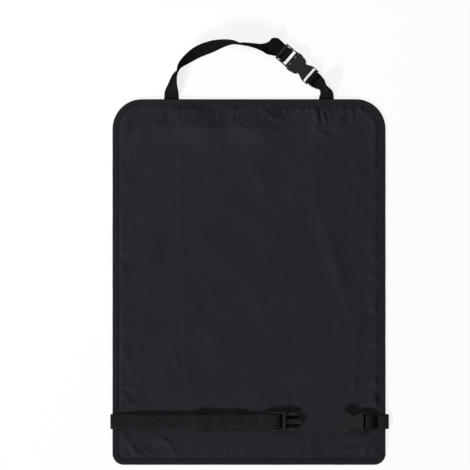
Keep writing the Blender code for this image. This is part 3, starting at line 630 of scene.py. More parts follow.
def relief(x, y):
    """All the height that the limp cloth has over its level lie."""
    past_binding = distance_inside(x, y) - BINDING_WIDTH - GAP
    past_strap = np.abs(y - STRAP_Y) - BUCKLE_WIDTH / 2
    broad = folds(x, y) + swellings(x, y) + slack(x, y, past_binding, past_strap)
    sharp = np.maximum(ridges(x, y, RIDGES), ridges(x, y, gathers())) + puckers(x, y, past_binding)
    sharp += CREASE_HEIGHT * creases(x, y) - seam_dips(x, y)
    raised = broad * ease(past_binding / FREE_REACH) + sharp * ease(past_binding / DIP_REACH)
    raised += edge_roll(x, y, past_binding)
    return ripples(x) * ripple_share(y) + raised * ease(past_strap / FREE_REACH)


def face_height(x, y):
    """The height of what a strap lies on: the sheet's level face, or the binding's near the edge."""
    over_tape = distance_inside(x, y) < BINDING_WIDTH + BINDING_MARGIN
    level = float(level_height(np.float64(x), np.float64(y)))
    return level + PANEL_THICKNESS + (GAP + BINDING_THICKNESS if over_tape else 0.0)


def cloth_top(x, y):
    """The height of the cloth's face, relief and all."""
    x = np.float64(x)
    y = np.float64(y)
    return float(level_height(x, y) + relief(x, y)) + PANEL_THICKNESS


def add_object(name, data):
    """An object with this data, in the scene and at its origin."""
    obj = bpy.data.objects.new(name, data)
    bpy.context.scene.collection.objects.link(obj)
    return obj


def from_pieces(name, vertices, faces, uvs=None):
    """A smooth mesh object, with a UV map in metres if one is given."""
    mesh = bpy.data.meshes.new(name)
    mesh.from_pydata(vertices, [], faces)
    if uvs is not None:
        layer = mesh.uv_layers.new(name="UVMap")
        for loop in mesh.loops:
            layer.data[loop.index].uv = uvs[loop.index]
    mesh.shade_smooth()
    return add_object(name, mesh)


def with_modifiers_applied(obj):
    """The object with its modifiers' result as its own mesh."""
    bpy.context.view_layer.update()
    graph = bpy.context.evaluated_depsgraph_get()
    made = bpy.data.meshes.new_from_object(obj.evaluated_get(graph))
    obj.modifiers.clear()
    obj.data = made
    return obj


# Materials


def set_inputs(tree, inputs, values):
    """Sets each input to its value, or joins it to another node's output."""
    for key, value in values.items():
        if isinstance(value, bpy.types.NodeSocket):
            tree.links.new(value, inputs[key])
        else:
            inputs[key].default_value = value


def node(tree, kind, values=None, **settings):
    """A node with these settings, and with its inputs set or joined as the values say."""
    made = tree.nodes.new(kind)
    for key, setting in settings.items():
        setattr(made, key, setting)
    set_inputs(tree, made.inputs, values or {})
    return made


def start_material(name):
    """A material, its tree and its shader's inputs."""
    material = bpy.data.materials.new(name)
    material.use_nodes = True
    tree = material.node_tree
    return material, tree, tree.nodes["Principled BSDF"].inputs


def maths(tree, operation, *values):
    """The result of one sum on values or other nodes' outputs."""
    made = node(tree, "ShaderNodeMath", dict(enumerate(values)), operation=operation)
    return made.outputs[0]


def noise(tree, place, size, detail=2.0):
    """Noise whose features are about this many metres across."""
    values = {"Vector": place, "Scale": 1.0 / size, "Detail": detail}
    return node(tree, "ShaderNodeTexNoise", values).outputs["Fac"]


def blended(tree, factor, low, high):
    """A value or colour from low to high as the factor goes over the middle of its range."""
    span = {"Value": factor, "From Min": BLEND_FROM, "From Max": BLEND_TO}
    share = node(tree, "ShaderNodeMapRange", span).outputs[0]
    if isinstance(low, tuple):
        colours = {0: share, 6: (*low, 1.0), 7: (*high, 1.0)}
        return node(tree, "ShaderNodeMix", colours, data_type="RGBA").outputs[2]
    return node(tree, "ShaderNodeMix", {0: share, 2: low, 3: high}, data_type="FLOAT").outputs[0]


def woven(tree, place, warp_pitch, weft_pitch):
    """The height of a plain weave, from 0 between the yarns to 1 on top of them."""
    parts = node(tree, "ShaderNodeSeparateXYZ", {"Vector": place})
    warp = maths(tree, "SINE", maths(tree, "MULTIPLY", parts.outputs[0], pi / warp_pitch))
    weft = maths(tree, "SINE", maths(tree, "MULTIPLY", parts.outputs[1], pi / weft_pitch))
    warp_on_top = maths(tree, "GREATER_THAN", maths(tree, "MULTIPLY", warp, weft), 0.0)
    warp_yarn = maths(tree, "ABSOLUTE", warp)
    weft_yarn = maths(tree, "ABSOLUTE", weft)
    yarns = {0: warp_on_top, 2: weft_yarn, 3: warp_yarn}
    upper = node(tree, "ShaderNodeMix", yarns, data_type="FLOAT").outputs[0]
    return maths(tree, "POWER", upper, YARN_ROUNDING)


def bump(tree, height, depth, strength, below=None):
    """A bump of a height from 0 to 1, this many metres deep, over another bump."""
    values = {"Height": height, "Distance": depth, "Strength": strength}
    if below is not None:
        values["Normal"] = below
    return node(tree, "ShaderNodeBump", values).outputs[0]


def make_cloth_material():
    """Coated oxford cloth: a fine weave with a faint broken sheen and small crumples."""
    material, tree, shader = start_material("black oxford cloth")
    place = node(tree, "ShaderNodeTexCoord").outputs["Object"]
    crumples = noise(tree, place, size=0.016, detail=3.0)
    crumpled = bump(tree, crumples, depth=0.0011, strength=0.35)
    weave = woven(tree, place, *CLOTH_YARNS)
    sheen = noise(tree, place, size=0.012, detail=3.0)
    looks = {
        "Base Color": blended(tree, noise(tree, place, size=0.060), *CLOTH_SHADES),
        "Roughness": blended(tree, sheen, low=0.60, high=0.76),
        "Specular IOR Level": 0.15,
        "Normal": bump(tree, weave, depth=0.00016, strength=0.8, below=crumpled),
    }
    set_inputs(tree, shader, looks)
    return material


def make_tape_material():
    """Binding tape: matt, with ribs across its length."""
    material, tree, shader = start_material("black binding tape")
    place = node(tree, "ShaderNodeUVMap", uv_map="UVMap").outputs[0]
    ribs = woven(tree, place, *TAPE_YARNS)
    looks = {
        "Base Color": blended(tree, noise(tree, place, size=0.006), *TAPE_SHADES),
        "Roughness": 0.85,
        "Specular IOR Level": 0.0,
        "Normal": bump(tree, ribs, depth=0.00014, strength=0.7),
    }
    set_inputs(tree, shader, looks)
    return material


def make_webbing_material(name, shades):
    """Woven webbing: thick yarns along the band, tucked under at every pick."""
    material, tree, shader = start_material(name)
    place = node(tree, "ShaderNodeUVMap", uv_map="UVMap").outputs[0]
    fuzz = bump(tree, noise(tree, place, size=0.0006), depth=0.0001, strength=0.5)
    yarns = woven(tree, place, *WEBBING_YARNS)
    looks = {
        "Base Color": blended(tree, noise(tree, place, size=0.012), *shades),
        "Roughness": 0.85,
        "Specular IOR Level": 0.0,
        "Normal": bump(tree, yarns, depth=0.00028, strength=0.8, below=fuzz),
    }
    set_inputs(tree, shader, looks)
    return material


def make_moulding_material():
    """Moulded plastic: satin, with a fine grain and slightly uneven gloss."""
    material, tree, shader = start_material("black moulded plastic")
    place = node(tree, "ShaderNodeTexCoord").outputs["Object"]
    flow = bump(tree, noise(tree, place, size=0.007), depth=0.00012, strength=0.4)
    grain = noise(tree, place, size=0.00028, detail=1.0)
    looks = {
        "Base Color": MOULDING_COLOUR,
        "Roughness": blended(tree, noise(tree, place, size=0.004), low=0.28, high=0.40),
        "Specular IOR Level": 0.32,
        "Normal": bump(tree, grain, depth=0.00002, strength=0.5, below=flow),
    }
    set_inputs(tree, shader, looks)
    return material


def make_thread_material():
    """Polyester thread: a twisted strand with a slight gleam."""
    material, tree, shader = start_material("black thread")
    place = node(tree, "ShaderNodeTexCoord").outputs["Object"]
    twist = noise(tree, place, size=0.00025)
    looks = {
        "Base Color": blended(tree, noise(tree, place, size=0.009), *THREAD_SHADES),
        "Roughness": 0.5,
        "Specular IOR Level": 0.05,
        "Normal": bump(tree, twist, depth=0.00008, strength=0.6),
    }
    set_inputs(tree, shader, looks)
    return material


# The cloth panel


def cloth_spacing(reach, step):
    """Places from -reach to reach, a step apart and closer together near both ends."""
    fine = round(FINE_CLOTH_REACH / FINE_CLOTH_STEP)
    coarse = round(2 * (reach - FINE_CLOTH_REACH) / step)
    first = np.linspace(-reach, FINE_CLOTH_REACH - reach, fine + 1)
    middle = np.linspace(FINE_CLOTH_REACH - reach, reach - FINE_CLOTH_REACH, coarse + 1)
    return np.array([*first[:-1], *middle, *-first[:-1][::-1]])


def half_width_at(y):
    """Half the cloth's width at a height, inside the binding's fold."""
    radius = TOP_CORNER_RADIUS if y > 0 else BOTTOM_CORNER_RADIUS
    past = abs(y) - (MAT_HEIGHT / 2 - radius)
    if past <= 0:
        return MAT_WIDTH / 2 - SHEET_INSET
    round_off = max((radius - SHEET_INSET) ** 2 - past**2, 0.0) ** 0.5
    return MAT_WIDTH / 2 - radius + round_off


def make_panel(material):
    """The cloth: its back laid over what is below it, and a thickness on top."""
    reach = MAT_HEIGHT / 2 - SHEET_INSET
    rows = cloth_spacing(reach, CLOTH_STEP_UP)
    shares = cloth_spacing(MAT_WIDTH / 2, CLOTH_STEP_ACROSS) / (MAT_WIDTH / 2)
    x = np.array([half_width_at(height) * shares for height in rows])
    y = np.array([[height] * len(shares) for height in rows])
    z = level_height(x, y) + relief(x, y)
    vertices = np.stack([x, y, z], axis=-1).reshape(-1, 3).tolist()
    columns = len(shares)
    faces = []
    for row in range(len(rows) - 1):
        for column in range(columns - 1):
            corner = row * columns + column
            faces.append((corner, corner + 1, corner + columns + 1, corner + columns))
    panel = from_pieces("panel_cloth", vertices, faces)
    panel.data.materials.append(material)
    solid = panel.modifiers.new("cloth thickness", "SOLIDIFY")
    solid.thickness = PANEL_THICKNESS
    solid.offset = 1.0
    return panel


# The binding tape, swept round the outline


def evenly(start, end, step):
    """Points about a step apart, from the first after the start to the end."""
    count = max(round((end - start).length / step), 1)
    return [start.lerp(end, share) for share in np.linspace(0, 1, count + 1)[1:]]


def outline_points(inset, step):
    """The outline from the left strap round by the foot, the right side and the top, as (x, y)."""
    corners = (
        (-1, -1, BOTTOM_CORNER_RADIUS, pi),
        (1, -1, BOTTOM_CORNER_RADIUS, pi * 1.5),
        (1, 1, TOP_CORNER_RADIUS, 0.0),
        (-1, 1, TOP_CORNER_RADIUS, pi / 2),
    )
    points = [Vector((-MAT_WIDTH / 2 + inset, STRAP_Y))]
    for side, end, radius, first in corners:
        middle = Vector((side * (MAT_WIDTH / 2 - radius), end * (MAT_HEIGHT / 2 - radius)))
        turns = np.linspace(first, first + pi / 2, round(radius * pi / 2 / step) + 1)
        corner = [middle + (radius - inset) * Vector((cos(turn), sin(turn))) for turn in turns]
        points += evenly(points[-1], corner[0], step) + corner[1:]
    return points + evenly(points[-1], points[0], step)


def foot_height(x, y):
    """The height of the sheet's back near the outline, with the top seam's ripples."""
    x = np.float64(x)
    y = np.float64(y)
    return float(level_height(x, y) + ripples(x) * ripple_share(y))


def outline_path(inset, lift):
    """Points along the outline, this far in from it and this far above the sheet's middle."""
    path = []
    level_places = outline_points(HEIGHT_INSET, TAPE_STEP)
    for (x, y), (level_x, level_y) in zip(outline_points(inset, TAPE_STEP), level_places):
        path.append((x, y, foot_height(level_x, level_y) + PANEL_THICKNESS / 2 + lift))
    return path


def tape_section():
    """The tape folded round the edge, as (reach inwards, height from the middle of the sheet)."""
    outer = BINDING_OUTER_HEIGHT / 2
    inner = outer - BINDING_THICKNESS
    turns = np.linspace(pi * 1.5, pi / 2, TAPE_FOLD_STEPS + 1)
    seam = BINDING_SEAM_INSIDE
    edge = [(BINDING_WIDTH, outer * TAPE_EDGE_SHARE), (BINDING_WIDTH - TAPE_EDGE_ROUNDING, outer)]
    groove = [(seam + GROOVE_REACH, outer), (seam, outer - SEAM_DIP), (seam - GROOVE_REACH, outer)]
    section = [(reach, -height) for reach, height in edge + groove]
    section += [(outer + outer * cos(turn), outer * sin(turn)) for turn in turns]
    section += (edge + groove)[::-1] + [(BINDING_WIDTH, inner)]
    section += [(outer, inner), (outer - inner, inner * TAPE_FOLD_SHARE)]
    section += [(outer - inner, -inner * TAPE_FOLD_SHARE), (outer, -inner), (BINDING_WIDTH, -inner)]
    return section


def line_object(name, lines, closed=False):
    """Loose edges through each line's points, for a tree to turn into curves."""
    vertices = []
    edges = []
    for line in lines:
        start = len(vertices)
        vertices += [tuple(point) for point in line]
        edges += [(start + index, start + index + 1) for index in range(len(line) - 1)]
        if closed:
            edges.append((start + len(line) - 1, start))
    mesh = bpy.data.meshes.new(name)
    mesh.from_pydata(vertices, edges, [])
    return add_object(name, mesh)


def start_tree(name, inputs):
    """A geometry tree with a geometry input and output, and these named inputs."""
    tree = bpy.data.node_groups.new(name, "GeometryNodeTree")
    tree.interface.new_socket("Lines", in_out="INPUT", socket_type="NodeSocketGeometry")
    for label, kind in inputs:
        tree.interface.new_socket(label, in_out="INPUT", socket_type=kind)
    tree.interface.new_socket("Made", in_out="OUTPUT", socket_type="NodeSocketGeometry")
    return tree, node(tree, "NodeGroupInput").outputs, node(tree, "NodeGroupOutput").inputs


def run_tree(obj, tree, values):
    """The object's mesh replaced by what the tree makes of it."""
    modifier = obj.modifiers.new(tree.name, "NODES")
    modifier.node_group = tree
    for item in tree.interface.items_tree:
        if item.in_out == "INPUT" and item.name in values:
            modifier[item.identifier] = values[item.name]
    with_modifiers_applied(obj)
    obj.data.shade_smooth()
    return obj


def measured(tree, curve, name):
    """The curve, and under this name how far along it each of its points lies."""
    kept = node(tree, "GeometryNodeCaptureAttribute", {"Geometry": curve}, domain="POINT")
    kept.capture_items.new("FLOAT", name)
    tree.links.new(node(tree, "GeometryNodeSplineParameter").outputs["Length"], kept.inputs[name])
    return kept.outputs


def sweep_tree():
    """Sweeps a flat section along lines, with a UV map in metres and a slightly uneven surface."""
    tree, given, made = start_tree(
        "tape sweep",
        (
            ("Section", "NodeSocketObject"),
            ("Unevenness", "NodeSocketFloat"),
            ("Uneven Length", "NodeSocketFloat"),
            ("Seed", "NodeSocketFloat"),
            ("Surface", "NodeSocketMaterial"),
        ),
    )
    # The path and the section, each with its own measure
    path = node(tree, "GeometryNodeMeshToCurve", {"Mesh": given["Lines"]}).outputs[0]
    path = node(tree, "GeometryNodeSetCurveNormal", {"Curve": path}, mode="Z_UP").outputs[0]
    path = measured(tree, path, "along")
    section = node(tree, "GeometryNodeObjectInfo", {"Object": given["Section"]}).outputs["Geometry"]
    section = node(tree, "GeometryNodeMeshToCurve", {"Mesh": section}).outputs[0]
    section = measured(tree, section, "around")

    # The sweep, and both measures as its UV map
    values = {
        "Curve": path["Geometry"],
        "Profile Curve": section["Geometry"],
        "Fill Caps": True,
    }
    swept = node(tree, "GeometryNodeCurveToMesh", values).outputs[0]
    values = {"X": path["along"], "Y": section["around"]}
    both = node(tree, "ShaderNodeCombineXYZ", values).outputs[0]
    swept = node(
        tree,
        "GeometryNodeStoreNamedAttribute",
        {"Geometry": swept, "Name": "UVMap", "Value": both},
        data_type="FLOAT2",
        domain="CORNER",
    ).outputs[0]

    # The surface pushed in and out a little
    scale = maths(tree, "DIVIDE", 1.0, given["Uneven Length"])
    values = {"W": given["Seed"], "Scale": scale, "Detail": 1.0}
    wander = node(tree, "ShaderNodeTexNoise", values, noise_dimensions="4D").outputs["Fac"]
    amount = maths(tree, "MULTIPLY", maths(tree, "SUBTRACT", wander, 0.5), given["Unevenness"])
    values = {0: node(tree, "GeometryNodeInputNormal").outputs[0], "Scale": amount}
    offset = node(tree, "ShaderNodeVectorMath", values, operation="SCALE").outputs[0]
    swept = node(tree, "GeometryNodeSetPosition", {"Geometry": swept, "Offset": offset}).outputs[0]
    swept = node(tree, "GeometryNodeRealizeInstances", {"Geometry": swept}).outputs[0]
    swept = node(tree, "GeometryNodeSetMaterial", {"Geometry": swept, "Material": given["Surface"]})
    tree.links.new(swept.outputs[0], made["Made"])
    return tree


def make_binding(material):
    """The tape, whose ends meet under the left strap."""
    binding = line_object("binding_tape", [outline_path(0.0, 0.0)])
    section_line = [(-reach, height, 0.0) for reach, height in tape_section()]
    section = line_object("tape section", [section_line], closed=True)
    values = {
        "Section": section,
        "Unevenness": TAPE_UNEVENNESS,
        "Uneven Length": TAPE_UNEVEN_LENGTH,
        "Seed": TAPE_SEED,
        "Surface": material,
    }
    run_tree(binding, sweep_tree(), values)
    bpy.data.objects.remove(section)
    return binding


# The webbing


def spaced(start, end, steps):
    """Values from start to end in even steps."""
    return [start + (end - start) * step / steps for step in range(steps + 1)]


def arc(centre, radius, start, end, step=BAR_STEP):
    """Points (x, z) round a centre, from one angle in degrees to another."""
    turns = [radians(turn) for turn in spaced(start, end, round(abs(end - start) / step))]
    return [(centre[0] + radius * cos(turn), centre[1] + radius * sin(turn)) for turn in turns]


def ladder_route():
    """The webbing's way under the ladder, round its middle bar and out, in the buckle's frame."""
    front = MIDDLE_BAR_FRONT - BAR_THICKNESS / 2
    back = MIDDLE_BAR_BACK + BAR_THICKNESS / 2
    tail = UNDER_STRAP + LAYER
    rising = UNDER_STRAP + (-BAR_WRAP - UNDER_STRAP) * BAR_APPROACH
    points = [(-LADDER_LENGTH, UNDER_STRAP), (MIDDLE_BAR_BACK - LAYER, UNDER_STRAP)]
    points.append(((front + back) / 2, rising))
    points += arc((front, 0.0), BAR_WRAP, -90, 90)
    points += arc((back, 0.0), BAR_WRAP, 90, 180)
    points += arc((back - BAR_WRAP - LAYER, tail + LAYER), LAYER, 0, -90)
    points.append((-LADDER_LENGTH, tail))
    return points


def loop_route(entry, reach):
    """The webbing's way round the fixed bar from under it and back, in the buckle's frame."""
    centre = (LOOP_BAR_START + BAR_THICKNESS / 2, 0.0)
    points = [entry, (LOOP_BAR_END, -BAR_WRAP)]
    points += arc(centre, BAR_WRAP, -90, -270)
    points += [(LOOP_BAR_END, BAR_WRAP), (LOOP_BAR_END + reach, entry[1] + LAYER)]
    return points


def flat(points, place, across):
    """Route stations from points (x, z) in a frame, all with one direction across."""
    return [(place @ Vector((x, 0.0, z)), across, WEBBING_WIDTH) for x, z in points]


def smooth_line(points):
    """Points on a smooth curve through all of these but the first and the last."""
    line = []
    for index in range(1, len(points) - 2):
        p0, p1, p2, p3 = (Vector(point) for point in points[index - 1 : index + 3])
        for step in range(ROUTE_STEPS):
            t = step / ROUTE_STEPS
            squared = (2 * p0 - 5 * p1 + 4 * p2 - p3) * t**2
            cubed = (3 * p1 - p0 - 3 * p2 + p3) * t**3
            line.append((2 * p1 + (p2 - p0) * t + squared + cubed) / 2)
    line.append(Vector(points[-2]))
    return line


def rolled(controls, leaving):
    """Route stations through controls, with the band's low edge kept on the surface below it."""
    controls = [(x, MAT_HEIGHT / 2 + above, roll) for x, above, roll in controls]
    x, y, roll = controls[0]
    first = (x, y - ROUTE_HEADING, roll)
    x, y, roll = controls[-1]
    last = (x + leaving.x * ROUTE_HEADING, y + leaving.y * ROUTE_HEADING, roll)
    line = smooth_line([first, *controls, last])
    route = []
    for index, (x, y, roll) in enumerate(line):
        before = line[max(index - 1, 0)]
        after = line[min(index + 1, len(line) - 1)]
        ahead = Vector((after.x - before.x, after.y - before.y, 0.0)).normalized()
        turn = radians(roll)
        across = Vector((ahead.y, -ahead.x, 0.0)) * cos(turn) + Vector((0, 0, 1)) * sin(turn)
        height = abs(sin(turn)) * WEBBING_WIDTH / 2 + abs(cos(turn)) * WEBBING_THICKNESS / 2
        route.append((Vector((x, y, height)), across, WEBBING_WIDTH))
    return route


def behind_top(x):
    """The sewn end behind the top edge, up to the edge."""
    top = MAT_HEIGHT / 2
    across = Vector((1, 0, 0))
    route = []
    for y in (top - ANCHOR_LENGTH, top - SEAM_SETBACK, top + TOP_EXIT):
        route.append((Vector((x, y, WEBBING_THICKNESS / 2)), across, WEBBING_WIDTH))
    return route


def top_long_route(place):
    """From behind the top edge up the loop, through the ladder and out to the cut tail."""
    ahead = place.to_3x3() @ Vector((1, 0, 0))
    across = place.to_3x3() @ Vector((0, -1, 0))
    route = behind_top(-TOP_ANCHOR_SPACING / 2)
    route += rolled(TOP_LONG_ROUTE, ahead)
    route += flat(ladder_route(), place, across)
    for reach, lift, share in TOP_TAIL_SHAPE:
        height = UNDER_STRAP + LAYER + TOP_TAIL_RISE * lift
        point = Vector((-LADDER_LENGTH - TOP_TAIL_LENGTH * reach, 0.0, height))
        route.append((place @ point, across, WEBBING_WIDTH * share))
    return route


def top_short_route(place):
    """From behind the top edge to the top socket's bar and round it."""
    back = place.to_3x3() @ Vector((-1, 0, 0))
    across = place.to_3x3() @ Vector((0, 1, 0))
    route = behind_top(TOP_ANCHOR_SPACING / 2)
    route += rolled(TOP_SHORT_ROUTE, back)
    entry = (LOOP_BAR_END + TOP_LOOP_RETURN, UNDER_STRAP)
    return route + flat(loop_route(entry, TOP_LOOP_RETURN), place, across)


def on_binding():
    """The height of a bottom strap where it has come round the edge onto the binding."""
    return face_height(MAT_WIDTH / 2 - BINDING_WIDTH / 2, STRAP_Y) + GAP + WEBBING_THICKNESS / 2


def on_sheet(x):
    """The height of the bottom strap where it lies loose on the sheet."""
    return face_height(x, STRAP_Y) + SHEET_PLAY + WEBBING_THICKNESS / 2


def wrap(side, play):
    """A bottom strap's way from behind the mat round its edge, as (x, z)."""
    edge = MAT_WIDTH / 2
    low = WEBBING_THICKNESS / 2
    high = on_binding()
    middle = (low + high) / 2
    points = [(edge - ANCHOR_LENGTH, low), (edge - SIDE_EXIT, low)]
    points += arc((edge + play, middle), high - middle, -90, 90)
    points += [(edge - SIDE_EXIT, high), (edge - BINDING_WIDTH - BINDING_MARGIN, high)]
    return [(side * x, z) for x, z in points]


def risen(x, low, high):
    """A height that goes from low to high as the bottom strap climbs to its ladder."""
    return low + (high - low) * float(ease((x - BOTTOM_LADDER_X + LADDER_LEAD) / LADDER_CLIMB))


def climb_places():
    """The places across the mat where the bottom strap climbs to its ladder."""
    start = BOTTOM_LADDER_X - LADDER_LEAD
    return spaced(start, start + LADDER_CLIMB, LONG_STRETCH)


def loaded_layer(over_ladder):
    """The layer that bears the pull, over the tail and its hem and up to the ladder, as (x, z)."""
    past_binding = -MAT_WIDTH / 2 + 2 * BINDING_WIDTH
    before_tail = BOTTOM_TAIL_X - HEM_LEAD
    past_hem = BOTTOM_TAIL_X + TAIL_HEM + HEM_CLIMB
    climb = climb_places()
    places = spaced(past_binding, before_tail, LONG_STRETCH)
    places += spaced(before_tail, before_tail + HEM_CLIMB, SHORT_STRETCH)[1:]
    places += spaced(past_hem - HEM_CLIMB, past_hem, SHORT_STRETCH)
    places += spaced(past_hem, climb[0], SHORT_STRETCH)[1:-1] + climb
    points = []
    for x in places:
        over_tail = float(ease((x - BOTTOM_TAIL_X + HEM_LEAD) / HEM_CLIMB))
        over_hem = 2.0 - float(ease((x - BOTTOM_TAIL_X - TAIL_HEM) / HEM_CLIMB))
        height = on_sheet(x) + (LAYER + HEM_PLAY) * over_tail * over_hem
        points.append((x, risen(x, height, over_ladder)))
    return points


def tail_layer(under_load):
    """The tail's stations from the ladder down onto the sheet and along it to the folded hem."""
    across = Vector((0, 1, 0))
    hem_turn = LAYER / 2
    level = spaced(BOTTOM_LADDER_X - TAIL_LEVEL, BOTTOM_TAIL_X + TAIL_HEM, SHORT_STRETCH)
    stations = []
    for x in [*climb_places()[::-1], *level, BOTTOM_TAIL_X + 2 * hem_turn]:
        drift = BOTTOM_TAIL_DRIFT * float(ease((BOTTOM_LADDER_X - x) / (BOTTOM_TAIL_LENGTH / 2)))
        centre = Vector((x, STRAP_Y + drift, risen(x, on_sheet(x), under_load)))
        stations.append((centre, across, WEBBING_WIDTH))
    low = risen(BOTTOM_TAIL_X, on_sheet(BOTTOM_TAIL_X), under_load)
    hem = arc((BOTTOM_TAIL_X + hem_turn, low + hem_turn), hem_turn, -90, -270, HEM_STEP)
    hem.append((BOTTOM_TAIL_X + TAIL_HEM, low + LAYER))
    return stations + flat(hem, Matrix.Translation((0.0, STRAP_Y + BOTTOM_TAIL_DRIFT, 0.0)), across)


def edge_lifted(route):
    """Stations turned about the strap's lower edge, so that its upper edge lifts off the sheet."""
    lifted = []
    for centre, across, width in route:
        from_edge = (centre.x + MAT_WIDTH / 2 - STRAP_LIFT_START) / STRAP_LIFT_CLIMB
        from_ladder = (BOTTOM_LADDER_X - LADDER_LEAD - centre.x) / STRAP_LIFT_CLIMB
        turn = radians(STRAP_LIFT_DEGREES) * float(ease(from_edge) * ease(from_ladder))
        low_edge = Vector((centre.x, STRAP_Y - WEBBING_WIDTH / 2, face_height(centre.x, STRAP_Y)))
        lift = Matrix.Rotation(turn, 3, "X")
        lifted.append((low_edge + lift @ (centre - low_edge), lift @ across, width))
    return lifted


def bottom_long_route(place):
    """Round the left edge, over the tail, through the ladder and back along the tail to its hem."""
    across = Vector((0, 1, 0))
    on_strap = Matrix.Translation((0.0, STRAP_Y, 0.0))
    over_ladder = place.translation.z - UNDER_STRAP
    route = flat(wrap(-1, LEFT_WRAP_PLAY), on_strap, across)
    route += edge_lifted(flat(loaded_layer(over_ladder), on_strap, across))
    route += flat(ladder_route(), place, across)
    return route + edge_lifted(tail_layer(over_ladder - LAYER))


def bottom_short_route(place):
    """Round the right edge to the bottom socket's bar and round it."""
    across = Vector((0, 1, 0))
    *edge, (x, z) = wrap(1, RIGHT_WRAP_PLAY)
    entry = (x - place.translation.x, z - place.translation.z)
    route = flat(edge, Matrix.Translation((0.0, STRAP_Y, 0.0)), across)
    return route + flat(loop_route(entry, LOOP_RETURN), place, across)


def webbing_section():
    """The whole section: the right edge and the face, then the left edge and the back."""
    half = [*WEBBING_EDGE, *WEBBING_FACE]
    return half + [(-share, -inset, -through) for share, inset, through in half]


def section_places(section):
    """How far round the webbing each corner of its section lies, for the UV map."""
    places = []
    for share, inset, level in section:
        reach = share * WEBBING_WIDTH / 2 - inset
        places.append(reach if level >= 0 else WEBBING_BACK_PLACE - reach)
    return places


def band_rings(route, section):
    """The section's corners at every station, and how far along the route each station lies."""
    corners = []
    lengths = []
    travelled = 0.0
    for index, (centre, across, width) in enumerate(route):
        before = route[max(index - 1, 0)][0]
        after = route[min(index + 1, len(route) - 1)][0]
        through = (after - before).normalized().cross(across).normalized()
        side = across.normalized()
        travelled += (centre - before).length
        lengths.append(travelled)
        for share, inset, level in section:
            reach = share * width / 2 - inset
            belly = BELLY * abs(side.z) ** BELLY_FADE * (1.0 - share**2)
            corners.append(centre + side * reach + through * (WEBBING_THICKNESS * level + belly))
    return corners, lengths


def band(name, route, material):
    """A band of webbing along a route, with a UV map in metres along it and round it."""
    section = webbing_section()
    places = section_places(section)
    corners, lengths = band_rings(route, section)
    count = len(section)
    faces = []
    uvs = []
    for ring, (start, end) in enumerate(zip(lengths, lengths[1:])):
        here = ring * count
        there = here + count
        for index, near in enumerate(places):
            after = (index + 1) % count
            faces.append((here + index, there + index, there + after, here + after))
            far = places[after]
            # At both edges the map jumps between the face and the back
            if abs(far - near) > WEBBING_WIDTH / 2:
                far = near
            uvs += [(start, near), (end, near), (end, far), (start, far)]
    last = (len(route) - 1) * count
    faces += [tuple(range(count)), tuple(last + index for index in reversed(range(count)))]
    uvs += [(0.0, place) for place in places] + [(lengths[-1], place) for place in reversed(places)]
    obj = from_pieces(name, corners, faces, uvs)
    obj.data.materials.append(material)
    return obj


# The stitches


def stitch_tree():
    """Lays stitches along lines, each a short thread that dips into the cloth at its ends."""
    tree, given, made = start_tree(
        "stitching",
        (
            ("Pitch", "NodeSocketFloat"),
            ("Stitch Length", "NodeSocketFloat"),
            ("Thread Thickness", "NodeSocketFloat"),
            ("Wander Degrees", "NodeSocketFloat"),
            ("Seed", "NodeSocketInt"),
            ("Surface", "NodeSocketMaterial"),
        ),
    )
    # A point for each stitch, turned along its seam and then a little astray
    path = node(tree, "GeometryNodeMeshToCurve", {"Mesh": given["Lines"]}).outputs[0]
    values = {"Curve": path, "Length": given["Pitch"]}
    points = node(tree, "GeometryNodeCurveToPoints", values, mode="LENGTH").outputs
    values = {"Vector": points["Tangent"]}
    along = node(tree, "FunctionNodeAlignRotationToVector", values, axis="X").outputs[0]
    wander = maths(tree, "RADIANS", given["Wander Degrees"])
    values = {2: maths(tree, "MULTIPLY", wander, -1.0), 3: wander, "Seed": given["Seed"]}
    aside = node(tree, "FunctionNodeRandomValue", values).outputs[1]
    turn = node(tree, "ShaderNodeCombineXYZ", {"Z": aside}).outputs[0]
    turn = node(tree, "FunctionNodeEulerToRotation", {"Euler": turn}).outputs[0]
    values = {"Rotation": along, "Rotate By": turn}
    along = node(tree, "FunctionNodeRotateRotation", values, rotation_space="LOCAL").outputs[0]

    # One stitch, a short thread that thins to both ends
    half_length = maths(tree, "DIVIDE", given["Stitch Length"], 2.0)
    half_thickness = maths(tree, "DIVIDE", given["Thread Thickness"], 2.0)
    values = {"X": half_length, "Y": half_thickness, "Z": half_thickness}
    size = node(tree, "ShaderNodeCombineXYZ", values).outputs[0]
    values = {"Segments": STITCH_SIDES, "Rings": STITCH_RINGS, "Radius": 1.0}
    stitch = node(tree, "GeometryNodeMeshUVSphere", values).outputs["Mesh"]
    stitch = node(tree, "GeometryNodeTransform", {"Geometry": stitch, "Scale": size}).outputs[0]

    # The stitches laid
    values = {"Points": points["Points"], "Instance": stitch, "Rotation": along}
    laid = node(tree, "GeometryNodeInstanceOnPoints", values).outputs[0]
    laid = node(tree, "GeometryNodeRealizeInstances", {"Geometry": laid}).outputs[0]
    laid = node(tree, "GeometryNodeSetMaterial", {"Geometry": laid, "Material": given["Surface"]})
    tree.links.new(laid.outputs[0], made["Made"])
    return tree


def straight(start, end, lift):
    """A seam from one place to another on the sheet, at the height that lift gives for a place."""
    count = max(round((Vector(end) - Vector(start)).length / SEAM_STEP), 1)
    points = []
    for share in np.linspace(0, 1, count + 1):
        x = start[0] + (end[0] - start[0]) * share
        y = start[1] + (end[1] - start[1]) * share
        points.append((x, y, lift(x, y)))
    return points


def box_seams(low, high, lift):
    """A box with a cross in it, between two corners on the sheet."""
    (x1, y1), (x2, y2) = low, high
    corners = [(x1, y1), (x2, y1), (x2, y2), (x1, y2)]
    seams = [straight(corner, corners[(index + 1) % 4], lift) for index, corner in enumerate(corners)]
    return [*seams, straight((x1, y1), (x2, y2), lift), straight((x2, y1), (x1, y2), lift)]


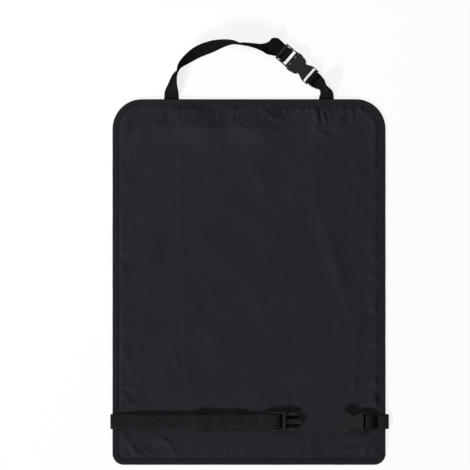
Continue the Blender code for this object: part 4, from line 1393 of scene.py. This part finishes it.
def sheet_seams(side, anchor_height):
    """The seams on one side of the mat: along the binding and round each sewn end of webbing."""
    seams = [outline_path(BINDING_SEAM_INSIDE, side * (BINDING_OUTER_HEIGHT / 2 - SEAM_DIP))]
    for low, high in anchor_boxes():
        seams += box_seams(low, high, anchor_height)
    return seams


def webbing_back(_x, _y):
    """The height of the webbing's back where it is sewn on."""
    return 0.0


def strap_seams(top_place, female_place):
    """The seams across both loops, two rows through each."""
    half = WEBBING_WIDTH / 2 - LOOP_SEAM_INSIDE
    sides = np.linspace(-half, half, LOOP_SEAM_POINTS)
    seams = []
    level = UNDER_STRAP + LAYER + WEBBING_THICKNESS / 2
    for reach in (TOP_LOOP_SEAM, TOP_LOOP_SEAM - LOOP_SEAM_SPACING):
        seams.append([top_place @ Vector((LOOP_BAR_END + reach, y, level)) for y in sides])
    entry = on_binding() - female_place.translation.z
    for reach in (LOOP_SEAM, LOOP_SEAM - LOOP_SEAM_SPACING):
        share = reach / LOOP_RETURN
        level = BAR_WRAP + (entry + LAYER - BAR_WRAP) * share + WEBBING_THICKNESS / 2
        seams.append([female_place @ Vector((LOOP_BAR_END + reach, y, level)) for y in sides])
    return seams


def make_stitches(name, seams, tree, material, seed):
    """The stitches along these seams, as one piece."""
    values = {
        "Pitch": STITCH_PITCH,
        "Stitch Length": STITCH_LENGTH,
        "Thread Thickness": THREAD_THICKNESS,
        "Wander Degrees": STITCH_WANDER,
        "Seed": seed,
        "Surface": material,
    }
    return run_tree(line_object(name, seams), tree, values)


# The buckles


def smoothed_copy(cad_name, name, material):
    """A copy of a solid with its loose faces joined and its rounded edges shaded smooth."""
    mesh = bpy.data.meshes.new(name)
    joined = bmesh.new()
    joined.from_mesh(frame["nodes"][cad_name].data)
    bmesh.ops.remove_doubles(joined, verts=joined.verts, dist=MERGE_DISTANCE)
    flat_angle = radians(FLAT_ANGLE)
    bmesh.ops.dissolve_limit(joined, angle_limit=flat_angle, verts=joined.verts, edges=joined.edges)
    joined.to_mesh(mesh)
    joined.free()
    mesh.materials.append(material)
    mesh.shade_smooth()
    mesh.set_sharp_from_angle(angle=radians(SHARP_ANGLE))
    obj = add_object(name, mesh)
    evened = obj.modifiers.new("even shading", "WEIGHTED_NORMAL")
    evened.keep_sharp = True
    return with_modifiers_applied(obj)


# The room


def make_floor():
    """A pale floor that keeps shadows and looks nearly white to the camera and in reflections."""
    reach = FLOOR_REACH
    corners = [(-reach, -reach), (reach, -reach), (reach, reach), (-reach, reach)]
    floor = from_pieces("floor", [(x, y, FLOOR_LEVEL) for x, y in corners], [(0, 1, 2, 3)])
    material = bpy.data.materials.new("pale floor")
    material.use_nodes = True
    tree = material.node_tree
    tree.nodes.clear()
    shade = (FLOOR_SHADE, FLOOR_SHADE, FLOOR_SHADE, 1.0)
    paper = node(tree, "ShaderNodeBsdfDiffuse", {"Color": shade}).outputs[0]
    glow = node(tree, "ShaderNodeEmission", {"Color": WHITE, "Strength": 1.0}).outputs[0]
    path = node(tree, "ShaderNodeLightPath")
    seen = maths(tree, "MAXIMUM", path.outputs["Is Camera Ray"], path.outputs["Is Glossy Ray"])
    share = maths(tree, "MULTIPLY", seen, FLOOR_GLOW)
    surface = node(tree, "ShaderNodeMixShader", {0: share, 1: paper, 2: glow}).outputs[0]
    node(tree, "ShaderNodeOutputMaterial", {"Surface": surface})
    floor.data.materials.append(material)


def make_light(name, place, target, size, power):
    """A round soft lamp that the camera doesn't see."""
    data = bpy.data.lights.new(name, "AREA")
    data.shape = "DISK"
    data.size = size
    data.energy = power
    light = add_object(name, data)
    light.location = place
    light.rotation_euler = (Vector(target) - Vector(place)).to_track_quat("-Z", "Y").to_euler()
    light.visible_camera = False


def make_world():
    """An even dim room that looks white to the camera."""
    world = bpy.data.worlds.new("studio")
    bpy.context.scene.world = world
    world.use_nodes = True
    tree = world.node_tree
    tree.nodes.clear()
    room = node(tree, "ShaderNodeBackground", {"Color": WHITE, "Strength": ROOM_LIGHT}).outputs[0]
    white = node(tree, "ShaderNodeBackground", {"Color": WHITE, "Strength": 1.0}).outputs[0]
    seen = node(tree, "ShaderNodeLightPath").outputs["Is Camera Ray"]
    surface = node(tree, "ShaderNodeMixShader", {0: seen, 1: room, 2: white}).outputs[0]
    node(tree, "ShaderNodeOutputWorld", {"Surface": surface})


def make_camera():
    """Straight above the mat, with the photograph's frame at the height of its back."""
    data = bpy.data.cameras.new("camera")
    data.lens = LENS
    data.sensor_width = SENSOR_WIDTH
    camera = add_object("camera", data)
    camera.location = (*FRAME_MIDDLE, FRAME_WIDTH * LENS / SENSOR_WIDTH)
    bpy.context.scene.camera = camera


def dress(piece, cad_name):
    """The piece rides with the mat and stands for one of its solids."""
    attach(piece, "root")
    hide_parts(cad_name)


# A new file's own camera, lamp and cube
for leftover in list(bpy.data.objects):
    if leftover.type in {"CAMERA", "LIGHT"} or leftover.name == "Cube":
        bpy.data.objects.remove(leftover)

make_camera()
make_world()
make_floor()
for lamp in LAMPS:
    make_light(*lamp)

cloth = make_cloth_material()
tape = make_tape_material()
strap_webbing = make_webbing_material("black webbing", STRAP_SHADES)
top_webbing = make_webbing_material("deep black webbing", TOP_STRAP_SHADES)
moulding = make_moulding_material()
thread = make_thread_material()

top_middle = (TOP_BUCKLE_ACROSS, MAT_HEIGHT / 2 + TOP_BUCKLE_ABOVE, BUCKLE_THICKNESS / 2)
top_place = Matrix.Translation(top_middle) @ Matrix.Rotation(radians(TOP_BUCKLE_TURN), 4, "Z")
half_buckle = SHEET_PLAY + BUCKLE_THICKNESS / 2
male_level = face_height(BOTTOM_LADDER_X, STRAP_Y) + half_buckle
male_place = Matrix.Translation((BOTTOM_MALE_X, STRAP_Y, male_level)) @ Matrix.Rotation(pi, 4, "X")
female_level = face_height(BOTTOM_FEMALE_X + BODY_LENGTH, STRAP_Y) + half_buckle
female_place = Matrix.Translation((BOTTOM_FEMALE_X, STRAP_Y, female_level))

panel = make_panel(cloth)
binding = make_binding(tape)
dress(panel, "mat_panel")
dress(binding, "edge_binding")

for name, route, material, cad_name in (
    ("top_long_webbing", top_long_route(top_place), top_webbing, "top_strap_long"),
    ("top_short_webbing", top_short_route(top_place), top_webbing, "top_strap_short"),
    ("bottom_long_webbing", bottom_long_route(male_place), strap_webbing, "bottom_strap_long"),
    ("bottom_short_webbing", bottom_short_route(female_place), strap_webbing, "bottom_strap_short"),
):
    dress(band(name, route, material), cad_name)

for name, cad_name in (
    ("top_ladder_half", "top_buckle_male"),
    ("top_socket_half", "top_buckle_female"),
    ("bottom_ladder_half", "bottom_buckle_male"),
    ("bottom_socket_half", "bottom_buckle_female"),
):
    dress(smoothed_copy(cad_name, name, moulding), cad_name)

stitching = stitch_tree()
loop_seams = strap_seams(top_place, female_place)
face_stitches = make_stitches("face_stitches", sheet_seams(1, cloth_top), stitching, thread, 1)
back_stitches = make_stitches("back_stitches", sheet_seams(-1, webbing_back), stitching, thread, 2)
strap_stitches = make_stitches("strap_stitches", loop_seams, stitching, thread, 3)
for stitches in (face_stitches, back_stitches, strap_stitches):
    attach(stitches, "root")

bpy.context.scene.view_settings.view_transform = "Standard"
